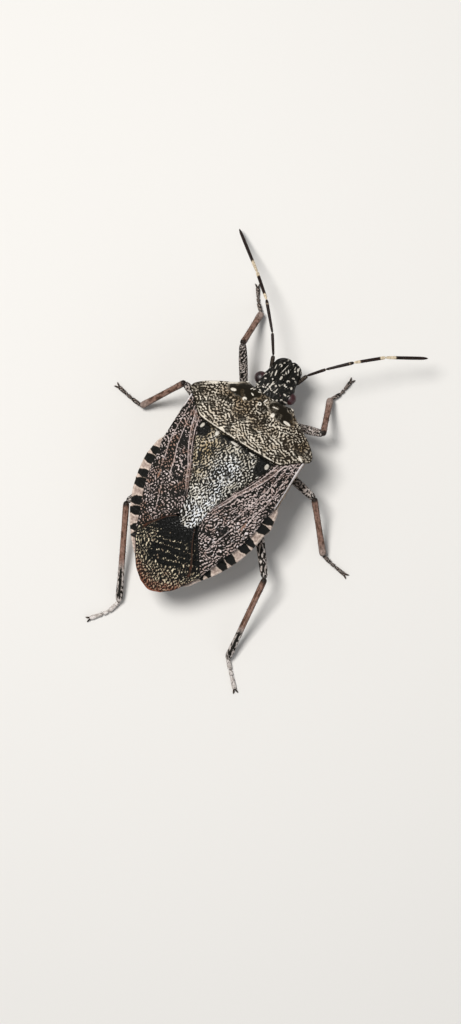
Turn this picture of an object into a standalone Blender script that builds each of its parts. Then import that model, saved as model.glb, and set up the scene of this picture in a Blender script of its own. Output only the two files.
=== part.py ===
"""Brown marbled shield bug, whole and standing, one closed solid for each named body part.

Sizes are in millimetres in the bug's own frame, and become metres when a part is placed.
+X is the bug's left, -Y is where its head points, +Z is up, and its feet stand on z = 0.
"""

import math

import bmesh
import bpy
from mathutils import Vector

MM = 0.001

# Driving sizes of the body
GAP = 0.27                   # clear space between two neighbouring parts
HEAD_TIP = -4.30
HEAD_REAR = -2.24
PRONOTUM_FRONT = -1.95
PRONOTUM_REAR = 1.20
HUMERAL_Y = -0.12
HUMERAL_HALF_WIDTH = 4.05
SCUTELLUM_TIP = 6.80
CORIUM_APEX = (2.20, 8.70)
ABDOMEN_REAR = 9.85
MEMBRANE_TIP = 10.95
PLATE = 0.60                 # thickness of the pronotum and scutellum plates
WING = 0.50                  # thickness of the wings
RIM_DROP = 0.30              # how far the banded margin lies below the wing edge
SIDE_LIP = 0.60              # depth of the body's side under that margin

# Sizes of the thin parts
FEELER_RADIUS = 0.25
BEAK_RADIUS = 0.25
COXA_RADIUS = 0.40
COXA_LENGTH = 0.42
FEMUR_RADIUS = 0.29
TIBIA_RADIUS = 0.25
TARSUS_RADIUS = 0.24
TARSUS_AXIS = 0.20           # height of the foot's axis, so that its underside is cut flat at the floor
CLAW_RADIUS = 0.09
CLAW_LENGTH = 0.38


def through(points):
    """Return a smooth function through (position, value) pairs that doesn't overshoot them."""
    xs = [p[0] for p in points]
    ys = [p[1] for p in points]
    steps = [(ys[i + 1] - ys[i]) / (xs[i + 1] - xs[i]) for i in range(len(xs) - 1)]
    slopes = [steps[0]]
    for before, after in zip(steps, steps[1:]):
        slopes.append(0.0 if before * after <= 0 else 2 * before * after / (before + after))
    slopes.append(steps[-1])

    def value(x):
        if x <= xs[0]:
            return ys[0]
        if x >= xs[-1]:
            return ys[-1]
        i = max(k for k in range(len(xs) - 1) if xs[k] <= x)
        width = xs[i + 1] - xs[i]
        t = (x - xs[i]) / width
        return (ys[i] * (1 + 2 * t) * (1 - t) ** 2 + ys[i + 1] * t * t * (3 - 2 * t)
                + width * (slopes[i] * t * (1 - t) ** 2 + slopes[i + 1] * t * t * (t - 1)))

    return value


def along(points):
    """Return a function of 0..1 that runs along a rounded path through the plan points."""
    pts = [Vector(p) for p in points]
    lengths = [0.0]
    for a, b in zip(pts, pts[1:]):
        lengths.append(lengths[-1] + (b - a).length)
    total = lengths[-1]
    axes = [through([(s / total, p[k]) for s, p in zip(lengths, pts)]) for k in range(len(pts[0]))]
    return lambda t: Vector([axis(t) for axis in axes])


def step(low, high, x):
    """Rise smoothly from 0 at low to 1 at high."""
    t = min(1.0, max(0.0, (x - low) / (high - low)))
    return t * t * (3 - 2 * t)


# Profiles of the body along its length
dome_width = through([(-2.05, 1.65), (-0.95, 3.35), (-0.15, 4.10), (4.5, 4.15), (6.4, 3.95),
                      (8.2, 3.45), (9.6, 2.80), (10.95, 2.20)])
ridge = through([(-2.05, 4.32), (-1.0, 4.92), (0.0, 5.40), (1.2, 5.66), (3.0, 5.74), (4.5, 5.58),
                 (6.9, 5.10), (9.0, 4.36), (10.5, 3.76), (10.95, 3.58)])
wing_edge = through([(-2.05, 4.00), (-0.15, 4.60), (1.0, 4.66), (3.0, 4.60), (6.0, 4.38),
                     (8.7, 4.00), (10.95, 3.40)])
keel = through([(-2.05, 2.15), (-1.0, 1.66), (0.0, 1.38), (2.0, 1.28), (5.0, 1.28), (7.0, 1.42),
                (9.0, 1.95), (9.85, 2.30)])
body_width = through([(-2.05, 1.50), (-1.65, 2.00), (-1.33, 2.60), (-0.95, 3.25), (-0.55, 3.75),
                      (-0.12, 3.95), (0.5, 3.86), (3.0, 3.88), (3.6, 4.00), (4.5, 4.12),
                      (5.3, 4.05), (6.4, 3.80), (7.3, 3.45), (8.2, 2.95), (9.0, 2.35),
                      (9.6, 1.92), (9.85, 1.62)])
cover_width = through([(0.35, 3.72), (1.0, 3.75), (3.2, 3.75), (4.0, 3.62), (5.0, 3.48),
                       (6.3, 3.14), (7.5, 2.66), (8.7, 2.14), (9.1, 1.92), (9.6, 1.58),
                       (9.85, 1.30)])
scutellum_width = through([(1.2, 2.40), (2.2, 2.14), (3.0, 1.80), (3.6, 1.47), (4.5, 1.07),
                           (5.2, 0.78), (5.8, 0.70), (6.3, 0.66), (6.6, 0.48), (6.8, 0.16)])
head_width = through([(-4.30, 0.42), (-4.20, 0.60), (-4.05, 0.74), (-3.85, 0.84), (-3.5, 0.89),
                      (-3.24, 0.96), (-3.16, 0.94), (-3.04, 0.66), (-2.24, 0.64)])
head_ridge = through([(-4.30, 3.26), (-4.0, 3.48), (-3.5, 3.80), (-2.6, 4.14), (-2.24, 4.22)])
head_edge = through([(-4.30, 3.14), (-3.5, 3.36), (-2.24, 3.62)])
head_keel = through([(-4.30, 2.86), (-4.0, 2.70), (-3.5, 2.55), (-2.24, 2.22)])


def back(x, y):
    """Height of the domed back over a plan point."""
    u = min(1.0, abs(x) / dome_width(y))
    return wing_edge(y) + (ridge(y) - wing_edge(y)) * (1 - u ** 2.2)


def belly(x, y):
    """Height of the underside over a plan point."""
    u = min(1.0, abs(x) / body_width(y))
    lip = wing_edge(y) - RIM_DROP - SIDE_LIP
    return lip - (lip - keel(y)) * (1 - u ** 1.9)


def new_mesh(name, verts, faces):
    """Make an object from points and outward faces, in millimetres."""
    mesh = bpy.data.meshes.new(name)
    mesh.from_pydata([tuple(v) for v in verts], [], faces)
    obj = bpy.data.objects.new(name, mesh)
    bpy.context.scene.collection.objects.link(obj)
    return obj


def slab(name, plan, top, bottom, bulge=0.06):
    """Close a plan grid of points between a top and a bottom height, with a rounded rim."""
    rows, cols = len(plan), len(plan[0])
    verts, faces = [], []
    for height in (top, bottom):
        for i, row in enumerate(plan):
            for j, (x, y) in enumerate(row):
                verts.append(Vector((x, y, height(x, y, j / (cols - 1), i / (rows - 1)))))
    layer = rows * cols
    for i in range(rows - 1):
        for j in range(cols - 1):
            a, b, c, d = i * cols + j, i * cols + j + 1, (i + 1) * cols + j + 1, (i + 1) * cols + j
            faces.append((a, b, c, d))
            faces.append((layer + d, layer + c, layer + b, layer + a))
    loop = ([(0, j) for j in range(cols)] + [(i, cols - 1) for i in range(1, rows)]
            + [(rows - 1, j) for j in range(cols - 2, -1, -1)] + [(i, 0) for i in range(rows - 2, 0, -1)])
    ring = [i * cols + j for i, j in loop]
    middle = len(verts)
    count = len(ring)
    for k, index in enumerate(ring):
        run = verts[ring[(k + 1) % count]] - verts[ring[k - 1]]
        outward = Vector((run.y, -run.x, 0.0))
        outward = outward.normalized() * bulge if outward.length > 1e-9 else outward
        verts.append((verts[index] + verts[layer + index]) / 2 + outward)
    for k, index in enumerate(ring):
        after = ring[(k + 1) % count]
        m, n = middle + k, middle + (k + 1) % count
        faces.append((index, m, n, after))
        faces.append((m, layer + index, layer + after, n))
    return new_mesh(name, verts, faces)


def patch(front, rear, right, left, cols, rows):
    """Fill four border paths with a grid: columns run right to left, rows front to rear."""
    grid = []
    for i in range(rows + 1):
        v = i / rows
        row = []
        for j in range(cols + 1):
            u = j / cols
            p = (front(u) * (1 - v) + rear(u) * v + right(v) * (1 - u) + left(v) * u
                 - (front(0) * (1 - u) + front(1) * u) * (1 - v)
                 - (rear(0) * (1 - u) + rear(1) * u) * v)
            row.append((p.x, p.y))
        grid.append(row)
    return grid


def tube(name, path, radii, sides=8, flat_start=False, floor=False, flatten=1.0):
    """Sweep a ring of points along a path, with rounded ends or a flat first end."""
    points = [Vector(p) for p in path]
    rings = []
    count = len(points)
    for k, point in enumerate(points):
        run = (points[min(k + 1, count - 1)] - points[max(k - 1, 0)]).normalized()
        side = run.cross(Vector((0, 0, 1)))
        side = side.normalized() if side.length > 0.05 else Vector((1, 0, 0))
        rise = side.cross(run).normalized()
        rings.append((point, radii[k], side, rise, run))
    first, last = rings[0], rings[-1]
    ends = [None, None]
    if not flat_start:
        rings.insert(0, (first[0] - first[4] * first[1] * 0.35, first[1] * 0.72, *first[2:]))
        ends[0] = first[0] - first[4] * first[1] * 0.52
    else:
        ends[0] = first[0]
    rings.append((last[0] + last[4] * last[1] * 0.35, last[1] * 0.72, *last[2:]))
    ends[1] = last[0] + last[4] * last[1] * 0.52
    verts, faces = [], []
    for point, radius, side, rise, run in rings:
        for s in range(sides):
            angle = 2 * math.pi * (s + 0.5) / sides
            verts.append(point + side * radius * math.sin(angle)
                         - rise * radius * flatten * math.cos(angle))
    for k in range(len(rings) - 1):
        for s in range(sides):
            a, b = k * sides + s, k * sides + (s + 1) % sides
            faces.append((a, a + sides, b + sides, b))
    for end, start in ((0, 0), (1, (len(rings) - 1) * sides)):
        tip = len(verts)
        verts.append(ends[end])
        for s in range(sides):
            a, b = start + s, start + (s + 1) % sides
            faces.append((tip, a, b) if end == 0 else (tip, b, a))
    if floor:
        verts = [Vector((v.x, v.y, max(0.0, v.z))) for v in verts]
    return new_mesh(name, verts, faces)


def keep_largest(obj):
    """Leave only the closed surface with the largest span."""
    tool = bmesh.new()
    tool.from_mesh(obj.data)
    bmesh.ops.remove_doubles(tool, verts=tool.verts, dist=0.002)
    seen, groups = set(), []
    for vert in tool.verts:
        if vert in seen:
            continue
        group, queue = [], [vert]
        seen.add(vert)
        while queue:
            current = queue.pop()
            group.append(current)
            for edge in current.link_edges:
                other = edge.other_vert(current)
                if other not in seen:
                    seen.add(other)
                    queue.append(other)
        groups.append(group)
    groups.sort(key=len)
    for group in groups[:-1]:
        bmesh.ops.delete(tool, geom=group, context="VERTS")
    tool.to_mesh(obj.data)
    tool.free()


def union(name, pieces):
    """Join overlapping closed pieces into one body with a single Boolean union."""
    base, others = pieces[0], pieces[1:]
    group = bpy.data.collections.new(name + "_pieces")
    for other in others:
        group.objects.link(other)
    join = base.modifiers.new("join", "BOOLEAN")
    join.operation = "UNION"
    join.operand_type = "COLLECTION"
    join.collection = group
    join.solver = "EXACT"
    bpy.context.view_layer.objects.active = base
    bpy.ops.object.modifier_apply(modifier=join.name)
    for other in others:
        bpy.data.objects.remove(other)
    bpy.data.collections.remove(group)
    base.name = name
    keep_largest(base)
    return base


def finish(name, colour, roughness):
    """Make the plain material of a part."""
    material = bpy.data.materials.new(name)
    material.use_nodes = True
    shader = material.node_tree.nodes["Principled BSDF"]
    shader.inputs["Base Color"].default_value = (*colour, 1.0)
    shader.inputs["Roughness"].default_value = roughness
    shader.inputs["Metallic"].default_value = 0.0
    return material


def place(obj, name, root, material, holder):
    """Turn a part into metres, put its origin at its root and hang it on the holder."""
    tool = bmesh.new()
    tool.from_mesh(obj.data)
    bmesh.ops.triangulate(tool, faces=tool.faces)
    for vert in tool.verts:
        vert.co = (vert.co - Vector(root)) * MM
    tool.to_mesh(obj.data)
    tool.free()
    obj.name = name
    obj.data.name = name
    obj.data.materials.clear()
    obj.data.materials.append(material)
    obj.data.shade_smooth()
    obj.data.set_sharp_from_angle(angle=math.radians(35))
    obj.location = Vector(root) * MM
    obj.parent = holder
    return obj


# Head, eyes and beak
def make_head():
    """Flat blunt head: two cheek lobes and a middle lobe with grooves between, and an eye notch."""
    grooves = [0.0, 0.16, 0.27, 0.38]
    rows = []
    lines = [-4.30, -4.22, -4.12, -3.98, -3.8, -3.55, -3.36, -3.24, -3.15, -3.04, -2.75, -2.5, -2.24]
    for y in lines:
        w = head_width(y)
        inner = [g * min(1.0, w / 0.62) for g in grooves]
        outer = [inner[-1] + (w - inner[-1]) * t for t in (0.4, 0.75, 1.0)]
        half = inner + outer
        xs = [-x for x in reversed(half[1:])] + half
        fade = step(-3.7, HEAD_TIP, y)
        row = []
        for x in xs:
            notch = 0.10 * max(0.0, 1 - abs(x) / 0.2) + 0.16 * (abs(x) / 0.6) ** 2
            row.append((x, y + notch * fade))
        rows.append(row)

    def top(x, y, u, v):
        w = head_width(y)
        s = min(1.0, abs(x) / w)
        dip = 0.07 * max(0.0, 1 - abs(abs(x) - 0.27 * min(1.0, w / 0.62)) / 0.1) * step(-2.6, -3.1, y)
        return head_edge(y) + (head_ridge(y) - head_edge(y)) * (1 - s ** 2.2) - dip

    def bottom(x, y, u, v):
        s = min(1.0, abs(x) / head_width(y))
        lip = head_edge(y) - 0.18
        return lip - (lip - head_keel(y)) * (1 - s ** 2.4)

    return slab("head", rows, top, bottom, 0.04)


def make_eye(side):
    """Bulging eye whose flat inner face meets the side of the head."""
    tool = bmesh.new()
    bmesh.ops.create_uvsphere(tool, u_segments=14, v_segments=9, radius=1.0)
    for vert in tool.verts:
        vert.co = Vector((side * (0.98 + 0.48 * vert.co.x), -2.60 + 0.35 * vert.co.y,
                          3.66 + 0.40 * vert.co.z))
    cut = bmesh.ops.bisect_plane(tool, geom=tool.verts[:] + tool.edges[:] + tool.faces[:],
                                 plane_co=(side * 0.96, 0, 0), plane_no=(-side, 0, 0),
                                 clear_outer=True, dist=0.0001)
    border = [e for e in cut["geom_cut"] if isinstance(e, bmesh.types.BMEdge)]
    bmesh.ops.holes_fill(tool, edges=border)
    bmesh.ops.recalc_face_normals(tool, faces=tool.faces)
    mesh = bpy.data.meshes.new("eye")
    tool.to_mesh(mesh)
    tool.free()
    obj = bpy.data.objects.new("eye", mesh)
    bpy.context.scene.collection.objects.link(obj)
    return obj


def make_beak():
    """Four-jointed beak folded back along the midline of the underside."""
    lines = [-3.85, -3.4, -2.95, -2.5, -2.05, -1.5, -0.9, -0.3, 0.4, 1.1, 1.8, 2.4]
    path, radii = [], []
    for k, y in enumerate(lines):
        roof = head_keel(y) if y < HEAD_REAR else min(keel(y), head_keel(HEAD_REAR))
        path.append((0.0, y, roof - GAP - BEAK_RADIUS - 0.02))
        radii.append(BEAK_RADIUS * (0.94 if k % 3 == 0 else 1.0) * (0.8 if y > 2.0 else 1.0))
    return tube("beak", path, radii)


# Thorax
def make_pronotum():
    """Shield over the front of the thorax, with the side corners, and the first ring under it."""
    front = along([(-1.50, -2.03), (-1.0, -1.93), (0.0, PRONOTUM_FRONT + 0.05), (1.0, -1.93),
                   (1.50, -2.03)])
    side = [(1.50, -2.03), (2.00, -1.65), (2.60, -1.33), (3.25, -0.95), (3.80, -0.50),
            (HUMERAL_HALF_WIDTH, HUMERAL_Y)]
    tail = [(HUMERAL_HALF_WIDTH, HUMERAL_Y), (3.82, 0.26), (3.20, 0.78), (2.60, 1.10), (1.9, 1.19),
            (0.0, PRONOTUM_REAR)]
    rear = along([(-x, y) for x, y in tail] + tail[-2::-1])
    grid = patch(front, rear, along([(-x, y) for x, y in side]), along(side), 20, 11)

    def top(x, y, u, v):
        edge = min(u, 1 - u) * 2
        groove = 0.05 * math.exp(-((y + 1.15) / 0.22) ** 2) * step(0.0, 0.3, edge)
        pad = 0.06 * math.exp(-((y + 1.55) / 0.25) ** 2 - ((abs(x) - 1.2) / 0.5) ** 2)
        return back(x, y) - groove + pad

    shield = slab("pronotum", grid, top, lambda x, y, u, v: back(x, y) - PLATE, 0.08)
    rows = []
    for k in range(9):
        y = -1.86 + (HUMERAL_Y - 0.13 + 1.86) * k / 8
        w = body_width(y) - 0.12
        rows.append([(w * (2 * j / 12 - 1), y) for j in range(13)])
    ring = slab("ring", rows, lambda x, y, u, v: back(x, y) - 0.30,
                lambda x, y, u, v: belly(x, y), 0.05)
    return union("pronotum", [shield, ring])


def make_scutellum():
    """Long triangular plate between the wings, with a rounded tip."""
    front = PRONOTUM_REAR + GAP + 0.14
    lines = [front, 1.9, 2.35, 2.8, 3.25, 3.7, 4.15, 4.6, 5.05, 5.5, 5.9, 6.25, 6.5, 6.68, 6.78]
    rows = []
    for y in lines:
        w = scutellum_width(y)
        rows.append([(w * (2 * j / 10 - 1), y) for j in range(11)])

    def top(x, y, u, v):
        hump = 0.06 * math.exp(-((y - 2.2) / 0.9) ** 2) * (1 - (2 * u - 1) ** 2)
        return back(x, y) + 0.04 + hump

    return slab("scutellum", rows, top, lambda x, y, u, v: back(x, y) - PLATE, 0.05)


def rear_edge(x):
    """Rear edge of the thorax in plan, where the abdomen begins."""
    return 3.85 - 0.90 * (abs(x) / 3.7) ** 2


def make_thorax():
    """Middle and rear rings of the thorax, under the wings, that carry four of the legs."""
    front = HUMERAL_Y - 0.05 + GAP
    rows = []
    for k in range(9):
        v = k / 8
        row = []
        for j in range(13):
            x = (body_width(front + 3.0 * v) - 0.22) * (2 * j / 12 - 1)
            row.append((x, front + (rear_edge(x) - 0.08 - front) * v))
        rows.append(row)

    def bottom(x, y, u, v):
        seam = 0.07 * math.exp(-((v - 0.52) / 0.07) ** 2)
        return belly(x, y) + seam

    return slab("thorax", rows, lambda x, y, u, v: back(x, y) - PLATE - GAP - 0.03, bottom, 0.04)


# Abdomen
def make_abdomen():
    """Belly of ringed segments, with the banded margin standing beside the wings."""
    seams = [4.28, 5.80, 7.40, 8.70]
    lines = [3.10, 3.40, 3.75, 4.14, 4.28, 4.42, 4.85, 5.30, 5.66, 5.80, 5.94, 6.40, 6.90, 7.26,
             7.40, 7.54, 8.00, 8.40, 8.60, 8.70, 8.82, 9.15, 9.50, 9.75, ABDOMEN_REAR]
    rows = []
    for y0 in lines:
        w, cover = body_width(y0), cover_width(y0)
        inner = cover + GAP + 0.03
        half = [0.0, inner * 0.2, inner * 0.4, inner * 0.6, inner * 0.78, inner * 0.92, inner,
                inner + 0.03, w]
        xs = [-x for x in reversed(half[1:])] + half
        blend = 1 - step(3.10, 4.28, y0)
        rows.append([(x, y0 + blend * (rear_edge(x) + GAP - 3.10 - 0.01)) for x in xs])

    def top(x, y, u, v):
        column = round(u * 16)
        rim = wing_edge(y) - RIM_DROP
        seam = 0.05 * max(math.exp(-((y - s) / 0.1) ** 2) for s in seams)
        if column in (0, 1, 15, 16) and y < 9.45:
            return rim - seam
        return back(x, y) - WING - GAP - (0.12 if abs(x) < 1.0 and y < 7.2 else 0.03)

    def bottom(x, y, u, v):
        seam = 0.06 * max(math.exp(-((y - s) / 0.1) ** 2) for s in seams)
        return belly(x, y) + seam

    return slab("abdomen", rows, top, bottom, 0.03)


# Wings
def make_forewing(side):
    """Leathery part of a forewing, from the shoulder to its pointed apex, with raised veins."""
    def inner(y):
        return scutellum_width(y) + GAP + 0.12

    seam = [(1.04, 6.50), (1.27, 7.20), (1.60, 7.88), (1.94, 8.42), CORIUM_APEX]
    front = [(inner(1.52), 1.52), (3.0, 1.36), (3.4, 1.10), (3.70, 0.84)]
    edge = [(cover_width(y), y) for y in (0.84, 1.5, 2.3, 3.2, 4.0, 5.0, 6.3, 7.5)]
    edge.append((CORIUM_APEX[0] + 0.02, CORIUM_APEX[1] - 0.02))
    root = [(inner(y), y) for y in (1.52, 2.2, 3.0, 3.6, 4.5, 5.2, 5.8, 6.3)] + [seam[0]]
    grid = patch(along(front), along(seam), along(root), along(edge), 9, 20)
    veins = (0.22, 0.44, 0.78)

    def top(x, y, u, v):
        vein = max(max(0.0, 1 - abs(u - line) / 0.08) for line in veins)
        return back(x, y) + 0.07 * vein * step(0.0, 0.1, v) * (1 - step(0.85, 1.0, v))

    obj = slab("forewing", grid, top, lambda x, y, u, v: back(x, y) - WING, 0.05)
    return mirrored(obj) if side < 0 else obj


def mirrored(obj):
    """Swap a part to the other side of the body."""
    tool = bmesh.new()
    tool.from_mesh(obj.data)
    for vert in tool.verts:
        vert.co.x = -vert.co.x
    bmesh.ops.reverse_faces(tool, faces=tool.faces)
    tool.to_mesh(obj.data)
    tool.free()
    return obj


def veined(lines, height):
    """Return a top surface with veins raised along lines that run to the rear."""
    def top(x, y, u, v):
        vein = max(max(0.0, 1 - abs(u - line) / 0.07) for line in lines)
        return back(x, y) + height * vein * (1 - step(0.75, 0.98, v))
    return top


def make_membrane_left():
    """Thin end of the left wing, which lies across the middle and reaches the rear tip."""
    left = along([(0.70, 6.95), (0.98, 7.52), (1.34, 8.12), (1.68, 8.66), (1.93, 9.00), (1.90, 9.14),
                  (1.56, 9.66), (1.22, 10.20), (0.62, 10.74)])
    right = along([(-0.22, 7.16), (-0.48, 7.67), (-0.74, 8.15), (-0.94, 8.65), (-0.99, 9.00),
                   (-0.95, 9.50), (-0.89, 9.92), (-0.96, 10.28), (-0.62, 10.74)])
    front = along([(-0.22, 7.16), (0.1, 7.17), (0.70, 6.95)])
    rear = along([(-0.62, 10.74), (0.0, MEMBRANE_TIP), (0.62, 10.74)])
    grid = patch(front, rear, right, left, 14, 16)
    lines = (1 / 7, 2 / 7, 3 / 7, 4 / 7, 5 / 7, 6 / 7)
    return slab("membrane", grid, veined(lines, 0.08), lambda x, y, u, v: back(x, y) - WING, 0.05)


def make_membrane_right():
    """The strip of the right wing's thin end that shows beside the left one."""
    left = along([(-0.70, 7.44), (-0.90, 7.80), (-1.16, 8.24), (-1.34, 8.70), (-1.39, 9.02),
                  (-1.34, 9.50), (-1.26, 9.84)])
    right = along([(-0.84, 7.24), (-1.09, 7.68), (-1.43, 8.24), (-1.74, 8.74), (-1.93, 9.02),
                   (-1.88, 9.18), (-1.48, 9.82)])
    front = along([(-0.84, 7.24), (-0.70, 7.44)])
    rear = along([(-1.48, 9.82), (-1.26, 9.84)])
    grid = patch(front, rear, right, left, 4, 16)
    return slab("membrane", grid, veined((0.5,), 0.06), lambda x, y, u, v: back(x, y) - WING, 0.04)


# Feelers: joints from the root to the tip
FEELER_LEFT = [(1.22, -3.42, 2.68), (1.32, -4.10, 3.10), (1.84, -5.15, 3.60), (3.18, -6.60, 3.30),
               (4.60, -7.74, 2.50), (7.12, -9.54, 0.50)]
FEELER_RIGHT = [(-1.24, -3.42, 2.68), (-1.36, -4.10, 3.12), (-1.88, -4.93, 3.72),
                (-3.06, -6.06, 4.00), (-4.40, -7.28, 3.70), (-6.42, -8.58, 3.00)]


def make_feeler(joints):
    """Five-jointed feeler: each joint is straight, and a little thicker along it than at its ends."""
    joints = [Vector(j) for j in joints]
    path, radii = [joints[0]], [FEELER_RADIUS]
    for k, (a, b) in enumerate(zip(joints, joints[1:])):
        last = k == len(joints) - 2
        for t, swell in ((0.12, 1.0), (0.5, 1.06), (0.88, 0.9 if last else 1.0)):
            path.append(a.lerp(b, t))
            radii.append(FEELER_RADIUS * swell)
        path.append(b)
        radii.append(FEELER_RADIUS * (0.66 if last else 0.96))
    return tube("feeler", path, radii)


# Legs: hip in plan, then knee, ankle, the bend of the foot, its end, and the way the claws point
LEGS = {
    "leg_front_left": ((1.20, -0.98), (3.05, -3.81, 2.85), (3.36, -6.00, 0.42),
                       (3.90, -6.50), (4.42, -7.26)),
    "leg_front_right": ((-1.20, -0.98), (-3.64, -1.84, 2.85), (-2.75, -3.88, 0.42),
                        (-3.09, -4.55), (-3.19, -5.45)),
    "leg_middle_left": ((1.40, 0.90), (4.62, -0.10, 3.20), (6.41, 2.27, 0.42),
                        (7.20, 2.21), (8.25, 2.03)),
    "leg_middle_right": ((-1.40, 0.90), (-5.19, 1.55, 2.60), (-7.24, 3.98, 0.42),
                         (-7.85, 4.13), (-8.90, 4.27)),
    "leg_hind_left": ((1.50, 2.85), (3.90, 7.46, 2.20), (1.37, 12.64, 0.42),
                      (1.60, 13.50), (2.34, 14.42)),
    "leg_hind_right": ((-1.50, 2.85), (-5.26, 6.93, 2.90), (-5.76, 12.00, 0.42),
                       (-6.25, 12.52), (-7.08, 13.34)),
}


def make_leg(name, hip, knee, ankle, arch, toe):
    """Hip joint, thigh, shin, three-jointed foot lying on a flat sole, and two claws."""
    x, y = hip
    base = Vector((x, y, belly(x, y)))
    d = 0.05
    normal = Vector(((belly(x + d, y) - belly(x - d, y)) / (2 * d),
                     (belly(x, y + d) - belly(x, y - d)) / (2 * d), -1.0)).normalized()
    socket = base + normal * (GAP + 0.02)
    hinge = socket + normal * COXA_LENGTH
    knee, ankle = Vector(knee), Vector(ankle)
    arch, toe = Vector((*arch, TARSUS_AXIS)), Vector((*toe, TARSUS_AXIS))
    pieces = [tube("coxa", [socket, socket.lerp(hinge, 0.5), hinge],
                   [COXA_RADIUS, COXA_RADIUS, COXA_RADIUS * 0.8], flat_start=True)]
    thigh = [hinge.lerp(knee, t) for t in (0.0, 0.12, 0.3, 0.55, 0.8, 1.0)]
    swell = (0.9, 0.92, 1.0, 1.08, 1.0, 0.88)
    pieces.append(tube("femur", thigh, [FEMUR_RADIUS * s for s in swell]))
    shin = [knee.lerp(ankle, t) for t in (0.0, 0.08, 0.5, 0.9, 1.0)]
    pieces.append(tube("tibia", shin, [TIBIA_RADIUS * s for s in (1.0, 1.0, 1.0, 1.06, 1.0)]))
    heel = Vector((ankle.x, ankle.y, TARSUS_AXIS + 0.06)).lerp(arch, 0.12)
    foot = [heel, heel.lerp(arch, 0.5), arch, arch.lerp(toe, 0.35), arch.lerp(toe, 0.7), toe]
    pieces.append(tube("tarsus", foot, [TARSUS_RADIUS * s for s in (1.0, 1.02, 0.96, 1.0, 1.02, 0.9)],
                       floor=True))
    ahead = (toe - arch).normalized()
    across = ahead.cross(Vector((0, 0, 1))).normalized()
    for turn in (-1, 1):
        start = toe + across * turn * 0.09
        mid = start + ahead * CLAW_LENGTH * 0.6 + across * turn * 0.12
        tip = start + ahead * CLAW_LENGTH + across * turn * 0.17
        mid.z, tip.z = TARSUS_AXIS + 0.02, 0.09
        pieces.append(tube("claw", [start, mid, tip], [CLAW_RADIUS * 1.2, CLAW_RADIUS, CLAW_RADIUS * 0.6],
                           sides=6))
    return union(name, pieces), tuple(hinge)


def build():
    """Build every part, hang it on one empty and centre the whole on the floor."""
    for obj in list(bpy.data.objects):
        bpy.data.objects.remove(obj)
    holder = bpy.data.objects.new("shield_bug", None)
    bpy.context.scene.collection.objects.link(holder)

    black_brown = ((0.045, 0.038, 0.030), 0.5)
    mottled = ((0.120, 0.095, 0.070), 0.55)
    mauve = ((0.160, 0.110, 0.100), 0.55)
    grey = ((0.300, 0.280, 0.240), 0.55)
    smoke = ((0.090, 0.075, 0.055), 0.3)
    amber = ((0.160, 0.040, 0.020), 0.25)

    parts = [
        ("head", make_head(), (0.0, HEAD_REAR, 3.3), black_brown),
        ("eye_left", make_eye(1), (0.96, -2.6, 3.66), amber),
        ("eye_right", make_eye(-1), (-0.96, -2.6, 3.66), amber),
        ("beak", make_beak(), (0.0, -3.85, 2.1), mottled),
        ("antenna_left", make_feeler(FEELER_LEFT), FEELER_LEFT[0], black_brown),
        ("antenna_right", make_feeler(FEELER_RIGHT), FEELER_RIGHT[0], black_brown),
        ("pronotum", make_pronotum(), (0.0, HUMERAL_Y, 4.6), mottled),
        ("scutellum", make_scutellum(), (0.0, PRONOTUM_REAR, 5.4), mottled),
        ("thorax", make_thorax(), (0.0, 1.5, 2.5), grey),
        ("abdomen", make_abdomen(), (0.0, 4.0, 2.5), grey),
        ("forewing_left", make_forewing(1), (3.0, 1.0, 4.8), mauve),
        ("forewing_right", make_forewing(-1), (-3.0, 1.0, 4.8), mauve),
        ("membrane_left", make_membrane_left(), (0.7, 6.9, 4.9), smoke),
        ("membrane_right", make_membrane_right(), (-0.88, 7.14, 4.8), smoke),
    ]
    for name, (hip, knee, ankle, arch, toe) in LEGS.items():
        obj, root = make_leg(name, hip, knee, ankle, arch, toe)
        parts.append((name, obj, root, grey))

    for name, obj, root, (colour, roughness) in parts:
        place(obj, name, root, finish(name, colour, roughness), holder)

    bpy.context.view_layer.update()
    corners = [obj.matrix_world @ v.co for _, obj, _, _ in parts for v in obj.data.vertices]
    middle_x = (min(c.x for c in corners) + max(c.x for c in corners)) / 2
    middle_y = (min(c.y for c in corners) + max(c.y for c in corners)) / 2
    holder.location = (-middle_x, -middle_y, 0.0)


build()
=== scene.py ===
"""Brown marbled shield bug at life size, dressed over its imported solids.

The bug is drawn in millimetres in its own frame: +X is its left, +Y runs from head to tail,
+Z is up and the feet stand on z = 0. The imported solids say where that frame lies.
"""

from __future__ import annotations

import logging
import math
from contextlib import contextmanager
from dataclasses import dataclass
from enum import Enum
from typing import Callable, Iterator, Sequence

import bmesh
import bpy
import numpy as np
from mathutils import Matrix, Vector

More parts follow.
